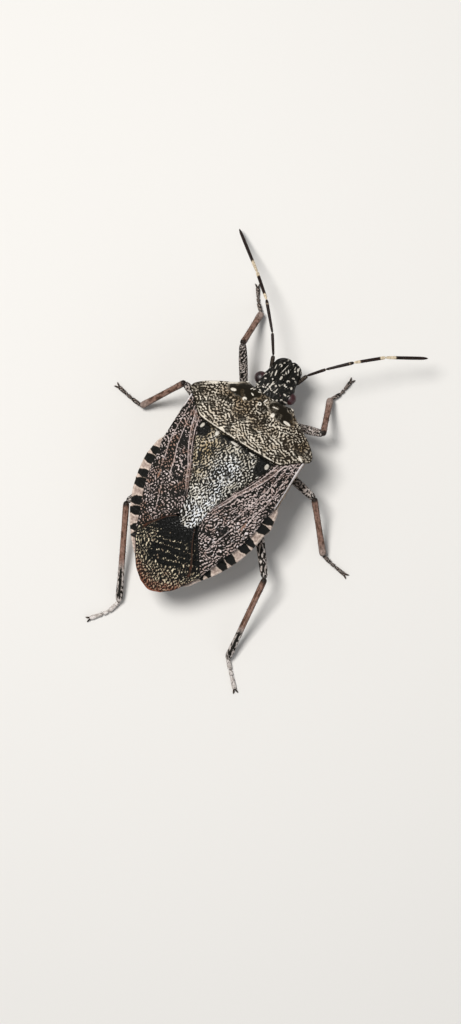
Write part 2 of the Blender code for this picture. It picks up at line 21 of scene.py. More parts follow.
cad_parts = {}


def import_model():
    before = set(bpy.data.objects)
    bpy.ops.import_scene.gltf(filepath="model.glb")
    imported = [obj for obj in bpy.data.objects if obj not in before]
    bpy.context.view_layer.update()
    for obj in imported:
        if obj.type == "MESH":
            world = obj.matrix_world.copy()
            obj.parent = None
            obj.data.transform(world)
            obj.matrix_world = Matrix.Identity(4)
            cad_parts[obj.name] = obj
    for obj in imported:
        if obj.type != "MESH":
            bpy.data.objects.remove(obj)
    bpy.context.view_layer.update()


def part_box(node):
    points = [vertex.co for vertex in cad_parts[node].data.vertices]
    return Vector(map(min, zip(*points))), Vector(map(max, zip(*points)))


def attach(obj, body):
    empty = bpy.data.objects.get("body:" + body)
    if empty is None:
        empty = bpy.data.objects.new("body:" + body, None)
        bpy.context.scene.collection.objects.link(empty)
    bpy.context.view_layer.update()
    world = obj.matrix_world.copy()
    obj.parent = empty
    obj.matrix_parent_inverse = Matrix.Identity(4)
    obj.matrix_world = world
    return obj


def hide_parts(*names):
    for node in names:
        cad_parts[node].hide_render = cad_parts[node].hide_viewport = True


MM = 0.001                   # metres in a millimetre
MERGE = 2e-8                 # metres: only points that coincide are merged
SHIELD_REACH = 2.1005        # millimetres from the front of the shield's solid to y = 0
CORE_HEIGHT = 3.3            # millimetres: height of a line that runs inside the body
HAIR_HALF = 0.006            # millimetres: half the thickness of a hair
STRAY = 0.85                 # how far a scattered point may lie off its cell's middle
SHARP_ANGLE = 50.0           # degrees: edges sharper than this stay sharp
MARK_NAMES = ("pit", "dark", "pale", "warm")

Array = np.ndarray
Number = Array | float
Pair = tuple[float, float]
Triple = tuple[float, float, float]
Oval = tuple[Pair, Pair, float]
Ovals = tuple[Oval, ...]
Points = tuple[Array, Array, Array]
Marks = dict[str, Array]
Shape = Callable[[Array, Array], Points]
Paint = Callable[[Array, Array], Marks]
Pattern = Callable[[Array, Array, Array, Array], Marks]
Object = bpy.types.Object
Material = bpy.types.Material
Socket = bpy.types.NodeSocket

log = logging.getLogger("shield_bug")


class Side(Enum):
    """Side of the body."""

    LEFT = 1
    RIGHT = -1


# Smooth curves and patterns

class Profile:
    """Smooth curve through (position, value) pairs that never overshoots them."""

    def __init__(self, *points: Pair) -> None:
        """Store the points and the slope at each.

        Args:
            points: (position, value) pairs in rising order of position.
        """
        self.x = np.array([p[0] for p in points], float)
        self.y = np.array([p[1] for p in points], float)
        rise = np.diff(self.y) / np.diff(self.x)
        slope = np.zeros(len(self.x))
        slope[0], slope[-1] = rise[0], rise[-1]
        for i in range(1, len(self.x) - 1):
            a, b = rise[i - 1], rise[i]
            slope[i] = 0.0 if a * b <= 0 else 2 * a * b / (a + b)
        self.slope = slope

    def __call__(self, at: Number) -> Array:
        """Return the curve's value at each position.

        Args:
            at: positions on the curve.

        Returns:
            The values.
        """
        at = np.clip(np.asarray(at, float), self.x[0], self.x[-1])
        i = np.clip(np.searchsorted(self.x, at, side="right") - 1, 0, len(self.x) - 2)
        width = self.x[i + 1] - self.x[i]
        t = (at - self.x[i]) / width
        return (self.y[i] * (1 + 2 * t) * (1 - t) ** 2 + self.y[i + 1] * t * t * (3 - 2 * t)
                + width * (self.slope[i] * t * (1 - t) ** 2 + self.slope[i + 1] * t * t * (t - 1)))


class Route:
    """Rounded path through points, run by 0..1."""

    def __init__(self, *points: Sequence[float]) -> None:
        """Store one smooth curve for each axis.

        Args:
            points: the points of the path, in two or three axes.
        """
        pts = np.array(points, float)
        run = np.concatenate([[0.0], np.cumsum(np.linalg.norm(np.diff(pts, axis=0), axis=1))])
        run /= run[-1]
        self.axes = [Profile(*zip(run, pts[:, k])) for k in range(pts.shape[1])]

    def __call__(self, t: Number) -> Array:
        """Return the points at each t, with the axes in the last place."""
        return np.stack([axis(t) for axis in self.axes], axis=-1)


def smooth(low: float, high: float, x: Array) -> Array:
    """Rise smoothly from 0 at low to 1 at high, or fall where low is above high."""
    t = np.clip((x - low) / (high - low), 0.0, 1.0)
    return t * t * (3 - 2 * t)


def bump(x: Array, middle: float, width: float) -> Array:
    """Return a soft bell of height 1 round middle."""
    return np.exp(-((x - middle) / width) ** 2)


def round_end(t: Array) -> Array:
    """Return a quarter round: 0 at t = 0, steep at first, and 1 from t = 1 on."""
    return np.sqrt(np.clip(1 - (1 - np.clip(t, 0, 1)) ** 2, 0, 1))


def rounded(t: Array, start: float, end: float) -> Array:
    """Return 1 along a segment, falling to 0 in a round cap at each end."""
    return round_end(t / start) * round_end((1 - t) / end)


def unit(v: Array) -> Array:
    """Return a direction with length 1."""
    return v / np.linalg.norm(v)


def drift(x: Array, y: Array, scale: float, seed: int) -> Array:
    """Return smooth noise in 0..1 whose patches are about scale across.

    Args:
        x: positions across, in millimetres.
        y: positions along, in millimetres.
        scale: size of a patch, in millimetres.
        seed: number that fixes the pattern.

    Returns:
        The noise at each position.
    """
    table = np.random.default_rng(seed).random((64, 64))
    px, py = x / scale + 31.7, y / scale + 17.3
    i, j = np.floor(px).astype(int), np.floor(py).astype(int)
    s, t = px - i, py - j
    s, t = s * s * (3 - 2 * s), t * t * (3 - 2 * t)
    a, b = table[i % 64, j % 64], table[(i + 1) % 64, j % 64]
    c, d = table[i % 64, (j + 1) % 64], table[(i + 1) % 64, (j + 1) % 64]
    return (a * (1 - s) + b * s) * (1 - t) + (c * (1 - s) + d * s) * t


def cells(x: Array, y: Array, size: Pair, seed: int) -> tuple[Array, Array]:
    """Scatter points one to a cell and measure how far the nearest one is.

    Args:
        x: positions across, in millimetres.
        y: positions along, in millimetres.
        size: width and length of a cell, in millimetres.
        seed: number that fixes the scatter.

    Returns:
        The distance to the nearest point, in cells, and a random number that belongs to it.
    """
    rng = np.random.default_rng(seed)
    off = rng.random((3, 97, 101))
    qx, qy = x / size[0] + 200.0, y / size[1] + 200.0
    row = np.floor(qy).astype(int)
    best = np.full(x.shape, 9.0)
    mark = np.zeros(x.shape)
    for dj in (-1, 0, 1):
        j = row + dj
        shift = 0.5 * (j % 2)
        col = np.floor(qx - shift).astype(int)
        for di in (-1, 0, 1):
            i = col + di
            ox, oy, name = (off[k, i % 97, j % 101] for k in range(3))
            cx = i + shift + 0.5 + (ox - 0.5) * STRAY
            cy = j + 0.5 + (oy - 0.5) * STRAY
            dist = np.hypot(qx - cx, qy - cy)
            nearer = dist < best
            best = np.where(nearer, dist, best)
            mark = np.where(nearer, name, mark)
    return best, mark


def maze(x: Array, y: Array, pitch: float, seed: int, lean: float = 0.0,
         spread: float = 1.0) -> Array:
    """Return a field of winding ridges and hollows, about -2 to 2.

    Args:
        x: positions across, in millimetres.
        y: positions along, in millimetres.
        pitch: distance from ridge to ridge, in millimetres.
        seed: number that fixes the pattern.
        lean: direction across the ridges, in degrees from x.
        spread: 0 for straight parallel ridges, 1 for a maze.

    Returns:
        The field at each position.
    """
    rng = np.random.default_rng(seed)
    px = x + 0.22 * drift(x, y, 0.38, seed + 1)
    py = y + 0.22 * drift(x, y, 0.38, seed + 2)
    total = np.zeros(x.shape)
    for _ in range(22):
        angle = math.radians(lean + spread * rng.uniform(-90.0, 90.0))
        wave = 2 * math.pi / (pitch * rng.uniform(0.70, 1.55))
        total += np.cos(wave * (px * math.cos(angle) + py * math.sin(angle))
                        + rng.uniform(0, 2 * math.pi))
    return total / math.sqrt(11.0) + 1.1 * (drift(x, y, pitch * 0.45, seed + 3) - 0.5)


def pits(x: Array, y: Array, size: Pair, seed: int, reach: float) -> Array:
    """Return how deep each point lies in a field of round punctures, 0 to 1.

    Args:
        x: positions across, in millimetres.
        y: positions along, in millimetres.
        size: spacing of the punctures across and along, in millimetres.
        seed: number that fixes the scatter.
        reach: radius of a puncture, in cells.

    Returns:
        1 in the middle of a puncture and 0 between them.
    """
    dist, name = cells(x + 0.05 * (drift(x, y, 0.3, seed + 5) - 0.5), y, size, seed)
    edge = reach * (0.72 + 0.56 * name)
    return 1 - smooth(0.0, 1.0, (dist - edge * 0.62) / (edge * 0.62))


def worms(x: Array, y: Array, pitch: float, seed: int, lean: float = 0.0, spread: float = 1.0,
          cover: Number = 0.0) -> Array:
    """Return the dark hollows between short, broken, winding ridges, 0 to 1.

    Args:
        x: positions across, in millimetres.
        y: positions along, in millimetres.
        pitch: distance from ridge to ridge, in millimetres.
        seed: number that fixes the pattern.
        lean: direction across the ridges, in degrees from x.
        spread: 0 for straight parallel ridges, 1 for a maze.
        cover: how much further the hollows spread, about -1 to 1.

    Returns:
        1 in a hollow and 0 on a ridge.
    """
    cloud = 1.0 * (drift(x, y, 0.40, seed + 41) - 0.5) + 0.5 * (drift(x, y, 1.0, seed + 42) - 0.5)
    nick = 0.9 * pits(x, y, (pitch * 0.95, pitch * 0.85), seed + 43, 0.30)
    return smooth(0.18, -0.20, maze(x, y, pitch, seed, lean, spread) - cloud - cover - nick)


def spot(r: Array, f: Array, at: Pair, half: Pair,
         turn: float = 0.0) -> Array:
    """Return a soft-edged oval of 1 on 0.

    Args:
        r: positions to the bug's right, in millimetres.
        f: positions forward, in millimetres.
        at: middle of the oval.
        half: its half sizes.
        turn: its turn, in degrees.

    Returns:
        1 inside the oval and 0 outside it.
    """
    a = math.radians(turn)
    dr, df = r - at[0], f - at[1]
    p, q = dr * math.cos(a) + df * math.sin(a), -dr * math.sin(a) + df * math.cos(a)
    return 1 - smooth(0.8, 1.2, np.sqrt((p / half[0]) ** 2 + (q / half[1]) ** 2))


def spots(r: Array, f: Array, ovals: Sequence[Oval]) -> Array:
    """Return several ovals as one pattern; each has a middle, half sizes and a turn."""
    return np.maximum.reduce([spot(r, f, at, half, turn) for at, half, turn in ovals])


# The body's own form, as its solids have it

dome_width = Profile((-2.05, 1.65), (-0.95, 3.35), (-0.15, 4.10), (4.5, 4.15), (6.4, 3.95),
                     (8.2, 3.45), (9.6, 2.80), (10.95, 2.20))
ridge = Profile((-2.05, 4.32), (-1.0, 4.92), (0.0, 5.40), (1.2, 5.66), (3.0, 5.74), (4.5, 5.58),
                (6.9, 5.10), (9.0, 4.36), (10.5, 3.76), (10.95, 3.58))
wing_edge = Profile((-2.05, 4.00), (-0.15, 4.60), (1.0, 4.66), (3.0, 4.60), (6.0, 4.38),
                    (8.7, 4.00), (10.95, 3.40))
keel = Profile((-2.05, 2.15), (-1.0, 1.66), (0.0, 1.38), (2.0, 1.28), (5.0, 1.28), (7.0, 1.42),
               (9.0, 1.95), (9.85, 2.30))
body_width = Profile((-2.05, 1.50), (-1.65, 2.00), (-1.33, 2.60), (-0.95, 3.25), (-0.55, 3.75),
                     (-0.12, 3.95), (0.5, 3.86), (3.0, 3.92), (3.6, 4.00), (4.5, 4.12),
                     (5.3, 4.05), (6.4, 3.80), (7.3, 3.45), (8.2, 2.95), (9.0, 2.35),
                     (9.6, 1.80), (9.9, 1.45))
cover_width = Profile((0.35, 3.76), (1.0, 3.76), (3.2, 3.76), (4.0, 3.60), (5.0, 3.48),
                      (6.3, 3.14), (7.5, 2.66), (8.7, 2.18), (9.1, 1.92), (9.6, 1.56),
                      (9.9, 1.35))
scutellum_width = Profile((1.0, 2.50), (1.3, 2.42), (2.2, 2.15), (3.0, 1.80), (3.6, 1.46),
                          (4.5, 1.07), (5.2, 0.78), (5.8, 0.70), (6.3, 0.65), (6.55, 0.52),
                          (6.72, 0.34), (6.80, 0.16), (6.82, 0.02))
shield_rear = Profile((0.0, 1.24), (1.9, 1.21), (2.62, 1.12), (2.95, 0.90), (3.25, 0.60), (3.55, 0.36),
                      (3.84, 0.16), (4.05, -0.10))
head_width = Profile((-4.42, 0.36), (-4.36, 0.56), (-4.22, 0.74), (-4.02, 0.85), (-3.5, 0.91),
                     (-3.1, 0.98), (-2.85, 1.08), (-2.3, 1.10), (-2.05, 1.02), (-1.8, 0.95))
head_ridge = Profile((-4.42, 3.20), (-4.1, 3.46), (-3.5, 3.80), (-2.6, 4.14), (-1.8, 4.20))
head_edge = Profile((-4.42, 3.08), (-3.5, 3.36), (-2.24, 3.62), (-1.8, 3.66))
head_keel = Profile((-4.42, 2.90), (-4.1, 2.74), (-3.5, 2.58), (-2.24, 2.25), (-1.8, 2.22))


def back(x: Array, y: Array) -> Array:
    """Height of the domed back over a plan point."""
    u = np.minimum(1.0, np.abs(x) / dome_width(y))
    return wing_edge(y) + (ridge(y) - wing_edge(y)) * (1 - u ** 2.2)


def belly(x: Array, y: Array, lip: float = 0.52) -> Array:
    """Height of the underside over a plan point, with its lip this far below the wing edge."""
    u = np.minimum(1.0, np.abs(x) / body_width(y))
    rim = wing_edge(y) - lip
    return rim - (rim - keel(y)) * (1 - u ** 1.9)


@dataclass(frozen=True)
class Place:
    """Where the bug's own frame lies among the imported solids."""

    middle: float
    front: float

    @staticmethod
    def from_solids() -> "Place":
        """Read the midline and the front of the shield from the pronotum's box."""
        low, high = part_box("pronotum")
        return Place((low.x + high.x) / 2, low.y + SHIELD_REACH * MM)

    def world(self, x: Number, y: Number, z: Number) -> Array:
        """Return millimetre points of the bug's frame as metre points of the solids' frame."""
        x, y, z = np.broadcast_arrays(x, y, z)
        return np.stack([x * MM + self.middle, y * MM + self.front, z * MM], axis=-1)


# Making and closing meshes

def deselect() -> None:
    """Leave nothing selected, so that an operator acts only on the next primitive."""
    if bpy.context.object and bpy.context.object.mode != "OBJECT":
        bpy.ops.object.mode_set(mode="OBJECT")
    bpy.ops.object.select_all(action="DESELECT")


def choose(obj: Object) -> None:
    """Make obj the only selected and the active object."""
    deselect()
    obj.select_set(True)
    bpy.context.view_layer.objects.active = obj


@contextmanager
def editing(obj: Object) -> Iterator[None]:
    """Edit an object with everything selected, and leave edit mode at the end.

    Args:
        obj: the object.
    """
    choose(obj)
    bpy.ops.object.mode_set(mode="EDIT")
    bpy.ops.mesh.select_all(action="SELECT")
    yield
    bpy.ops.object.mode_set(mode="OBJECT")


def face_outward() -> None:
    """In edit mode, turn all faces outward."""
    bpy.ops.mesh.select_all(action="SELECT")
    bpy.ops.mesh.normals_make_consistent(inside=False)


def close_mesh(obj: Object) -> Object:
    """Merge points that coincide, turn the faces outward and return the object.

    Args:
        obj: the object.

    Returns:
        The object.
    """
    with editing(obj):
        bpy.ops.mesh.remove_doubles(threshold=MERGE)
        face_outward()
        if bmesh.from_edit_mesh(obj.data).calc_volume(signed=True) < 0:
            bpy.ops.mesh.flip_normals()
    return obj


def points_of(obj: Object) -> Array:
    """Return the places of an object's points, one to a row."""
    flat = np.empty(len(obj.data.vertices) * 3)
    obj.data.vertices.foreach_get("co", flat)
    return flat.reshape(-1, 3)


def copy_of(master: Object) -> Object:
    """Return a copy of a model, with its own mesh.

    Args:
        master: the model.

    Returns:
        The object.
    """
    obj = master.copy()
    obj.data = master.data.copy()
    bpy.context.scene.collection.objects.link(obj)
    return obj


def clear(masters: Sequence[Object]) -> None:
    """Delete the models that were only there to be copied."""
    for master in masters:
        bpy.data.objects.remove(master)


def pick(obj: Object, test: Callable[[Vector], bool]) -> int:
    """In edit mode, select only the points that pass a test.

    Args:
        obj: the object in edit mode.
        test: takes a point's place and says whether it is wanted.

    Returns:
        How many points are selected.
    """
    mesh = bmesh.from_edit_mesh(obj.data)
    for part in (mesh.verts, mesh.edges, mesh.faces):
        for item in part:
            item.select = False
    found = [v for v in mesh.verts if test(v.co)]
    for v in found:
        v.select = True
    mesh.select_flush(True)
    bmesh.update_edit_mesh(obj.data)
    return len(found)


def thicken(obj: Object, thickness: float) -> Object:
    """Give a sheet a wall below it, in millimetres, and return it.

    Args:
        obj: the object.
        thickness: the wall, in millimetres.

    Returns:
        The object.
    """
    choose(obj)
    wall = obj.modifiers.new("wall", "SOLIDIFY")
    wall.thickness = thickness * MM
    wall.offset = -1.0
    bpy.ops.object.modifier_apply(modifier=wall.name)
    return obj


def set_marks(obj: Object, marks: Marks) -> None:
    """Store each pattern as a point attribute, with 0 for those that aren't given.

    Args:
        obj: the object.
        marks: the patterns by name.
    """
    count = len(obj.data.vertices)
    for name in MARK_NAMES:
        layer = obj.data.attributes.new(name, "FLOAT", "POINT")
        values = marks.get(name, np.zeros(count))
        layer.data.foreach_set("value", np.clip(values, 0.0, 1.0).astype(np.float32))


def shaped_grid(name: str, cols: int, rows: int, place: Place,
                shape: Shape,
                marks: Pattern) -> Object:
    """Add a grid and lay it over a surface.

    Args:
        name: name of the object.
        cols: faces across.
        rows: faces along.
        place: where the bug's frame lies.
        shape: turns (u, v) in 0..1 into millimetre points.
        marks: turns (x, y, u, v) into the patterns.

    Returns:
        The object, with its place in its mesh.
    """
    deselect()
    bpy.ops.mesh.primitive_grid_add(x_subdivisions=cols, y_subdivisions=rows, size=2.0)
    obj = bpy.context.object
    obj.name = obj.data.name = name
    flat = points_of(obj)
    u, v = (flat[:, 0] + 1) / 2, (flat[:, 1] + 1) / 2
    x, y, z = shape(u, v)
    obj.data.vertices.foreach_set("co", place.world(x, y, z).ravel())
    set_marks(obj, marks(x, y, u, v))
    obj.data.update()
    return obj


def raised(shape: Shape,
           relief: Callable[[Array, Array, Array, Array], Array]) -> Shape:
    """Push a surface that goes once round the body, with u, out along its own normals.

    Args:
        shape: the plain surface.
        relief: turns (x, y, u, v) into heights, in millimetres.

    Returns:
        The surface with its relief.
    """
    def plain(u: Array, v: Array) -> Array:
        """Return the plain surface's points."""
        return np.stack(shape(u % 1.0, np.clip(v, 0.0, 1.0)), axis=-1)

    def pushed(u: Array, v: Array) -> Points:
        """Return the raised surface's points.

        Args:
            u: across, 0 to 1.
            v: along, 0 to 1.

        Returns:
            The points' x, y and z.
        """
        h = 1e-3
        p = plain(u, v)
        out = np.cross(plain(u + h, v) - plain(u - h, v), plain(u, v + h) - plain(u, v - h))
        size = np.linalg.norm(out, axis=1, keepdims=True)
        out = np.where(size > 1e-12, out / np.maximum(size, 1e-12), 0.0)
        spine = np.stack([0 * u, p[:, 1], 0 * u + CORE_HEIGHT], axis=-1)
        if np.median(np.sum(out * (p - spine), axis=1)) < 0:
            out = -out
        p = p + out * relief(p[:, 0], p[:, 1], u, v)[:, None]
        return p[:, 0], p[:, 1], p[:, 2]
    return pushed


def fill_patch(front: Route, rear: Route, inner: Route, outer: Route,
               u: Array, v: Array) -> tuple[Array, Array]:
    """Blend four border paths into plan points.

    Args:
        front: border at v = 0, from inner to outer.
        rear: border at v = 1, from inner to outer.
        inner: border at u = 0, from front to rear.
        outer: border at u = 1, from front to rear.
        u: place across, 0 to 1.
        v: place along, 0 to 1.

    Returns:
        The plan points' x and y.
    """
    s, t = u[:, None], v[:, None]
    p = (front(u) * (1 - t) + rear(u) * t + inner(v) * (1 - s) + outer(v) * s
         - (front(0.0) * (1 - s) + front(1.0) * s) * (1 - t)
         - (rear(0.0) * (1 - s) + rear(1.0) * s) * t)
    return p[:, 0], p[:, 1]


def join(objs: Sequence[Object], name: str) -> Object:
    """Join several objects into one of this name.

    Args:
        objs: the objects.
        name: the name of the whole.

    Returns:
        The object.
    """
    deselect()
    for obj in objs:
        obj.select_set(True)
    bpy.context.view_layer.objects.active = objs[0]
    bpy.ops.object.join()
    objs[0].name = objs[0].data.name = name
    return objs[0]


@dataclass(frozen=True)
class Rod:
    """Closed rod along +Z, drawn once ring by ring and then copied to each place."""

    name: str
    length: float
    radius: float
    outline: Profile
    start: float = 0.06
    end: float = 0.06
    rings: int = 14
    sides: int = 12
    levels: int = 2
    furrow: float = 0.0
    least: float = 0.15

    def width(self, t: float) -> float:
        """Return the radius at a place along the rod, in metres."""
        part = float(self.outline(t) * rounded(np.array(t), self.start, self.end))
        return max(part, self.least) * self.radius * MM

    def model(self) -> Object:
        """Extrude a disc ring by ring, press a furrow into its top and smooth it.

        Returns:
            The object.
        """
        deselect()
        stops = [0.5 - 0.5 * math.cos(math.pi * k / self.rings) for k in range(self.rings + 1)]
        bpy.ops.mesh.primitive_circle_add(vertices=self.sides, radius=self.width(0.0), fill_type="NGON")
        obj = bpy.context.object
        obj.name = obj.data.name = self.name
        with editing(obj):
            for a, b in zip(stops, stops[1:]):
                step = (b - a) * self.length * MM
                bpy.ops.mesh.extrude_region_move(TRANSFORM_OT_translate={"value": (0.0, 0.0, step)})
                grow = self.width(b) / self.width(a)
                bpy.ops.transform.resize(value=(grow, grow, 1.0),
                                         center_override=(0.0, 0.0, b * self.length * MM))
            if self.furrow:
                low, high = 0.10 * self.length * MM, 0.90 * self.length * MM
                reach = 0.62 * self.radius * MM
                pick(obj, lambda co: co.y > reach and low < co.z < high)
                bpy.ops.transform.translate(value=(0.0, -self.furrow * MM, 0.0))
            face_outward()
        soft = obj.modifiers.new("soft", "SUBSURF")
        soft.levels = soft.render_levels = self.levels
        bpy.ops.object.modifier_apply(modifier=soft.name)
        return obj


def lay(master: Object, rod: Rod, place: Place, a: Sequence[float], b: Sequence[float],
        radius: float, painter: Paint) -> Object:
    """Copy a rod to its place between two points and paint it.

    Args:
        master: the rod's model.
        rod: its sizes.
        place: where the bug's frame lies.
        a: where it starts, in millimetres.
        b: where it ends, in millimetres.
        radius: its radius here, in millimetres.
        painter: turns (place round, -1..1 with 0 on top, place along, 0..1) into the patterns.

    Returns:
        The copy, with its own mesh.
    """
    start, end = Vector(place.world(*a)), Vector(place.world(*b))
    run = end - start
    ahead = run.normalized()
    side = ahead.cross(Vector((0.0, 0.0, 1.0))).normalized()
    rise = side.cross(ahead)
    wide, long = radius / rod.radius, run.length / (rod.length * MM)
    turn = Matrix((side * wide, rise * wide, ahead * long)).transposed().to_4x4()
    if turn.determinant() < 0:
        turn = Matrix((-side * wide, rise * wide, ahead * long)).transposed().to_4x4()
    turn.translation = start
    obj = copy_of(master)
    flat = points_of(obj)
    around = np.arctan2(flat[:, 0], flat[:, 1]) / (2 * math.pi)
    along = np.clip(flat[:, 2] / (rod.length * MM), 0, 1)
    obj.data.transform(turn)
    set_marks(obj, painter(around * 2, along))
    return obj


# Finishes

class Recipe:
    """Node tree of one material, with short calls for its nodes."""

    def __init__(self, name: str) -> None:
        """Start a material with a Principled shader.

        Args:
            name: the material's name.
        """
        self.material = bpy.data.materials.new(name)
        self.material.use_nodes = True
        self.tree = self.material.node_tree
        self.shader = self.tree.nodes["Principled BSDF"]
        coords = self.node("ShaderNodeTexCoord")
        scaled = self.node("ShaderNodeVectorMath")
        scaled.operation = "SCALE"
        scaled.inputs["Scale"].default_value = 1.0 / MM
        self.link(coords.outputs["Object"], scaled.inputs[0])
        self.mm = scaled.outputs["Vector"]

    def node(self, kind: str) -> bpy.types.Node:
        """Add a node."""
        return self.tree.nodes.new(kind)

    def link(self, source: Socket, target: Socket) -> None:
        """Join two sockets."""
        self.tree.links.new(source, target)

    def noise(self, scale: float, detail: float = 3.0, rough: float = 0.55) -> Socket:
        """Return noise with this many patches to a millimetre.

        Args:
            scale: patches to a millimetre.
            detail: finer layers of noise.
            rough: how much they count.

        Returns:
            The result's socket.
        """
        node = self.node("ShaderNodeTexNoise")
        node.inputs["Scale"].default_value = scale
        node.inputs["Detail"].default_value = detail
        node.inputs["Roughness"].default_value = rough
        self.link(self.mm, node.inputs["Vector"])
        return node.outputs["Fac"]

    def mark(self, name: str) -> Socket:
        """Return one of the piece's painted patterns."""
        node = self.node("ShaderNodeAttribute")
        node.attribute_name = name
        return node.outputs["Fac"]

    def spread(self, value: Socket, low: float, high: float,
               to_low: float = 0.0, to_high: float = 1.0) -> Socket:
        """Map a number's range to another one, and keep it inside.

        Args:
            value: the number.
            low: where its range starts.
            high: where its range ends.
            to_low: what the start becomes.
            to_high: what the end becomes.

        Returns:
            The result's socket.
        """
        node = self.node("ShaderNodeMapRange")
        for key, number in (("From Min", low), ("From Max", high), ("To Min", to_low), ("To Max", to_high)):
            node.inputs[key].default_value = number
        self.link(value, node.inputs["Value"])
        return node.outputs["Result"]

    def blend(self, below: Socket | Sequence[float],
              above: Socket | Sequence[float],
              amount: Socket, kind: str = "MIX") -> Socket:
        """Lay one colour over another by an amount.

        Args:
            below: the lower colour.
            above: the upper colour.
            amount: how much of the upper one shows.
            kind: how they mix.

        Returns:
            The result's socket.
        """
        node = self.node("ShaderNodeMix")
        node.data_type = "RGBA"
        node.blend_type = kind
        node.clamp_factor = True
        for socket, value in ((node.inputs[6], below), (node.inputs[7], above)):
            if isinstance(value, Socket):
                self.link(value, socket)
            else:
                socket.default_value = (*value, 1.0)
        self.link(amount, node.inputs[0])
        return node.outputs[2]

    def sum(self, a: Socket, b: Socket) -> Socket:
        """Add two numbers.

        Args:
            a: one number.
            b: the other.

        Returns:
            The result's socket.
        """
        node = self.node("ShaderNodeMath")
        node.operation = "ADD"
        self.link(a, node.inputs[0])
        self.link(b, node.inputs[1])
        return node.outputs[0]

    def punctures(self, count: float) -> Socket:
        """Return round punctures, this many to a millimetre, as wide as the painted "pit" asks.

        Args:
            count: punctures to a millimetre.

        Returns:
            The result's socket.
        """
        net = self.node("ShaderNodeTexVoronoi")
        net.inputs["Scale"].default_value = count
        self.link(self.mm, net.inputs["Vector"])
        reach = self.spread(self.mark("pit"), 0.0, 1.0, 0.05, -0.34)
        return self.spread(self.sum(net.outputs["Distance"], reach), 0.05, -0.05)

    def relief(self, height: Socket, depth: float) -> None:
        """Let a height roughen the surface by this many millimetres.

        Args:
            height: the height.
            depth: its depth, in millimetres.
        """
        node = self.node("ShaderNodeBump")
        node.inputs["Strength"].default_value = 1.0
        node.inputs["Distance"].default_value = depth * MM
        self.link(height, node.inputs["Height"])
        self.link(node.outputs["Normal"], self.shader.inputs["Normal"])


@dataclass(frozen=True)
class Shell:
    """Chitin whose ground, punctures, patches, callous spots and painted highlights follow the painted
    patterns.
    """

    name: str
    light: Triple
    deep: Triple
    pit: Triple = (0.007, 0.006, 0.004)
    dark: Triple = (0.006, 0.006, 0.005)
    pale: Triple = (0.62, 0.54, 0.40)
    warm: Triple = (0.16, 0.07, 0.035)
    gloss: float = 0.34
    patch: float = 2.2
    grain: float = 26.0
    relief: float = 0.006
    coat: float = 0.0
    sheen: float = 0.16
    dots: float = 0.0
    dapple: float = 0.75
    dapple_tint: Triple = (0.50, 0.47, 0.44)
    grain_tint: Triple = (0.34, 0.31, 0.28)
    coat_gloss: float = 0.25

    def make(self) -> Material:
        """Build the material.

        Returns:
            The material.
        """
        r = Recipe(self.name)
        ground = r.blend(self.deep, self.light, r.spread(r.noise(self.patch, 4.0), 0.36, 0.62))
        tint = r.blend(ground, self.warm, r.mark("warm"))
        # The pale mark holds pale spots and rims and, on the back's plates, painted highlights.
        lit = r.blend(tint, self.pale, r.mark("pale"))
        uneven = r.spread(r.noise(7.0, 2.0), 0.40, 0.60, self.dapple, 0.0)
        lit = r.blend(lit, self.dapple_tint, uneven, "MULTIPLY")
        fine = r.noise(self.grain, 2.0)
        fray = r.spread(r.noise(20.0, 2.0), 0.3, 0.7, -0.16, 0.16)
        pit = r.punctures(self.dots) if self.dots else r.spread(r.sum(r.mark("pit"), fray), 0.24, 0.76)
        pitted = r.blend(lit, self.pit, pit)
        patched = r.blend(pitted, self.dark, r.spread(r.sum(r.mark("dark"), fray), 0.16, 0.84))
        shade = r.blend(patched, self.grain_tint, r.spread(fine, 0.35, 0.75, 0.32, 0.0), "MULTIPLY")
        r.link(shade, r.shader.inputs["Base Color"])
        rough = r.spread(fine, 0.3, 0.7, self.gloss - 0.08, self.gloss + 0.14)
        r.link(r.sum(rough, r.spread(pit, 0.0, 1.0, 0.0, 0.30)), r.shader.inputs["Roughness"])
        r.shader.inputs["Specular IOR Level"].default_value = self.sheen
        r.shader.inputs["Coat Weight"].default_value = self.coat
        r.shader.inputs["Coat Roughness"].default_value = self.coat_gloss
        height = r.sum(r.spread(pit, 0.0, 1.0, 2.5, 0.0), fine) if self.dots else fine
        r.relief(height, self.relief)
        return r.material


@dataclass(frozen=True)
class Eye:
    """Dark red compound eye with a net of small facets."""

    name: str = "eye_lens"
    colour: Triple = (0.034, 0.007, 0.009)
    rim: Triple = (0.012, 0.005, 0.006)
    facets: float = 26.0
    gloss: float = 0.36
    coat: float = 0.15
    coat_gloss: float = 0.22
    relief: float = 0.004

    def make(self) -> Material:
        """Build the material.

        Returns:
            The material.
        """
        r = Recipe(self.name)
        net = r.node("ShaderNodeTexVoronoi")
        net.inputs["Scale"].default_value = self.facets
        net.inputs["Randomness"].default_value = 0.35
        r.link(r.mm, net.inputs["Vector"])
        r.link(r.blend(self.colour, self.rim, r.spread(r.noise(2.5), 0.42, 0.66)),
               r.shader.inputs["Base Color"])
        r.shader.inputs["Roughness"].default_value = self.gloss
        r.shader.inputs["Coat Weight"].default_value = self.coat
        r.shader.inputs["Coat Roughness"].default_value = self.coat_gloss
        r.relief(r.spread(net.outputs["Distance"], 0.0, 0.6, 1.0, 0.0), self.relief)
        return r.material


@dataclass(frozen=True)
class Floor:
    """Plain pale studio floor."""

    name: str = "studio_floor"
    colour: Triple = (0.70, 0.685, 0.66)
    gloss: float = 0.7

    def make(self) -> Material:
        """Build the material.

        Returns:
            The material.
        """
        r = Recipe(self.name)
        r.shader.inputs["Base Color"].default_value = (*self.colour, 1.0)
        r.shader.inputs["Roughness"].default_value = self.gloss
        return r.material


# Pieces

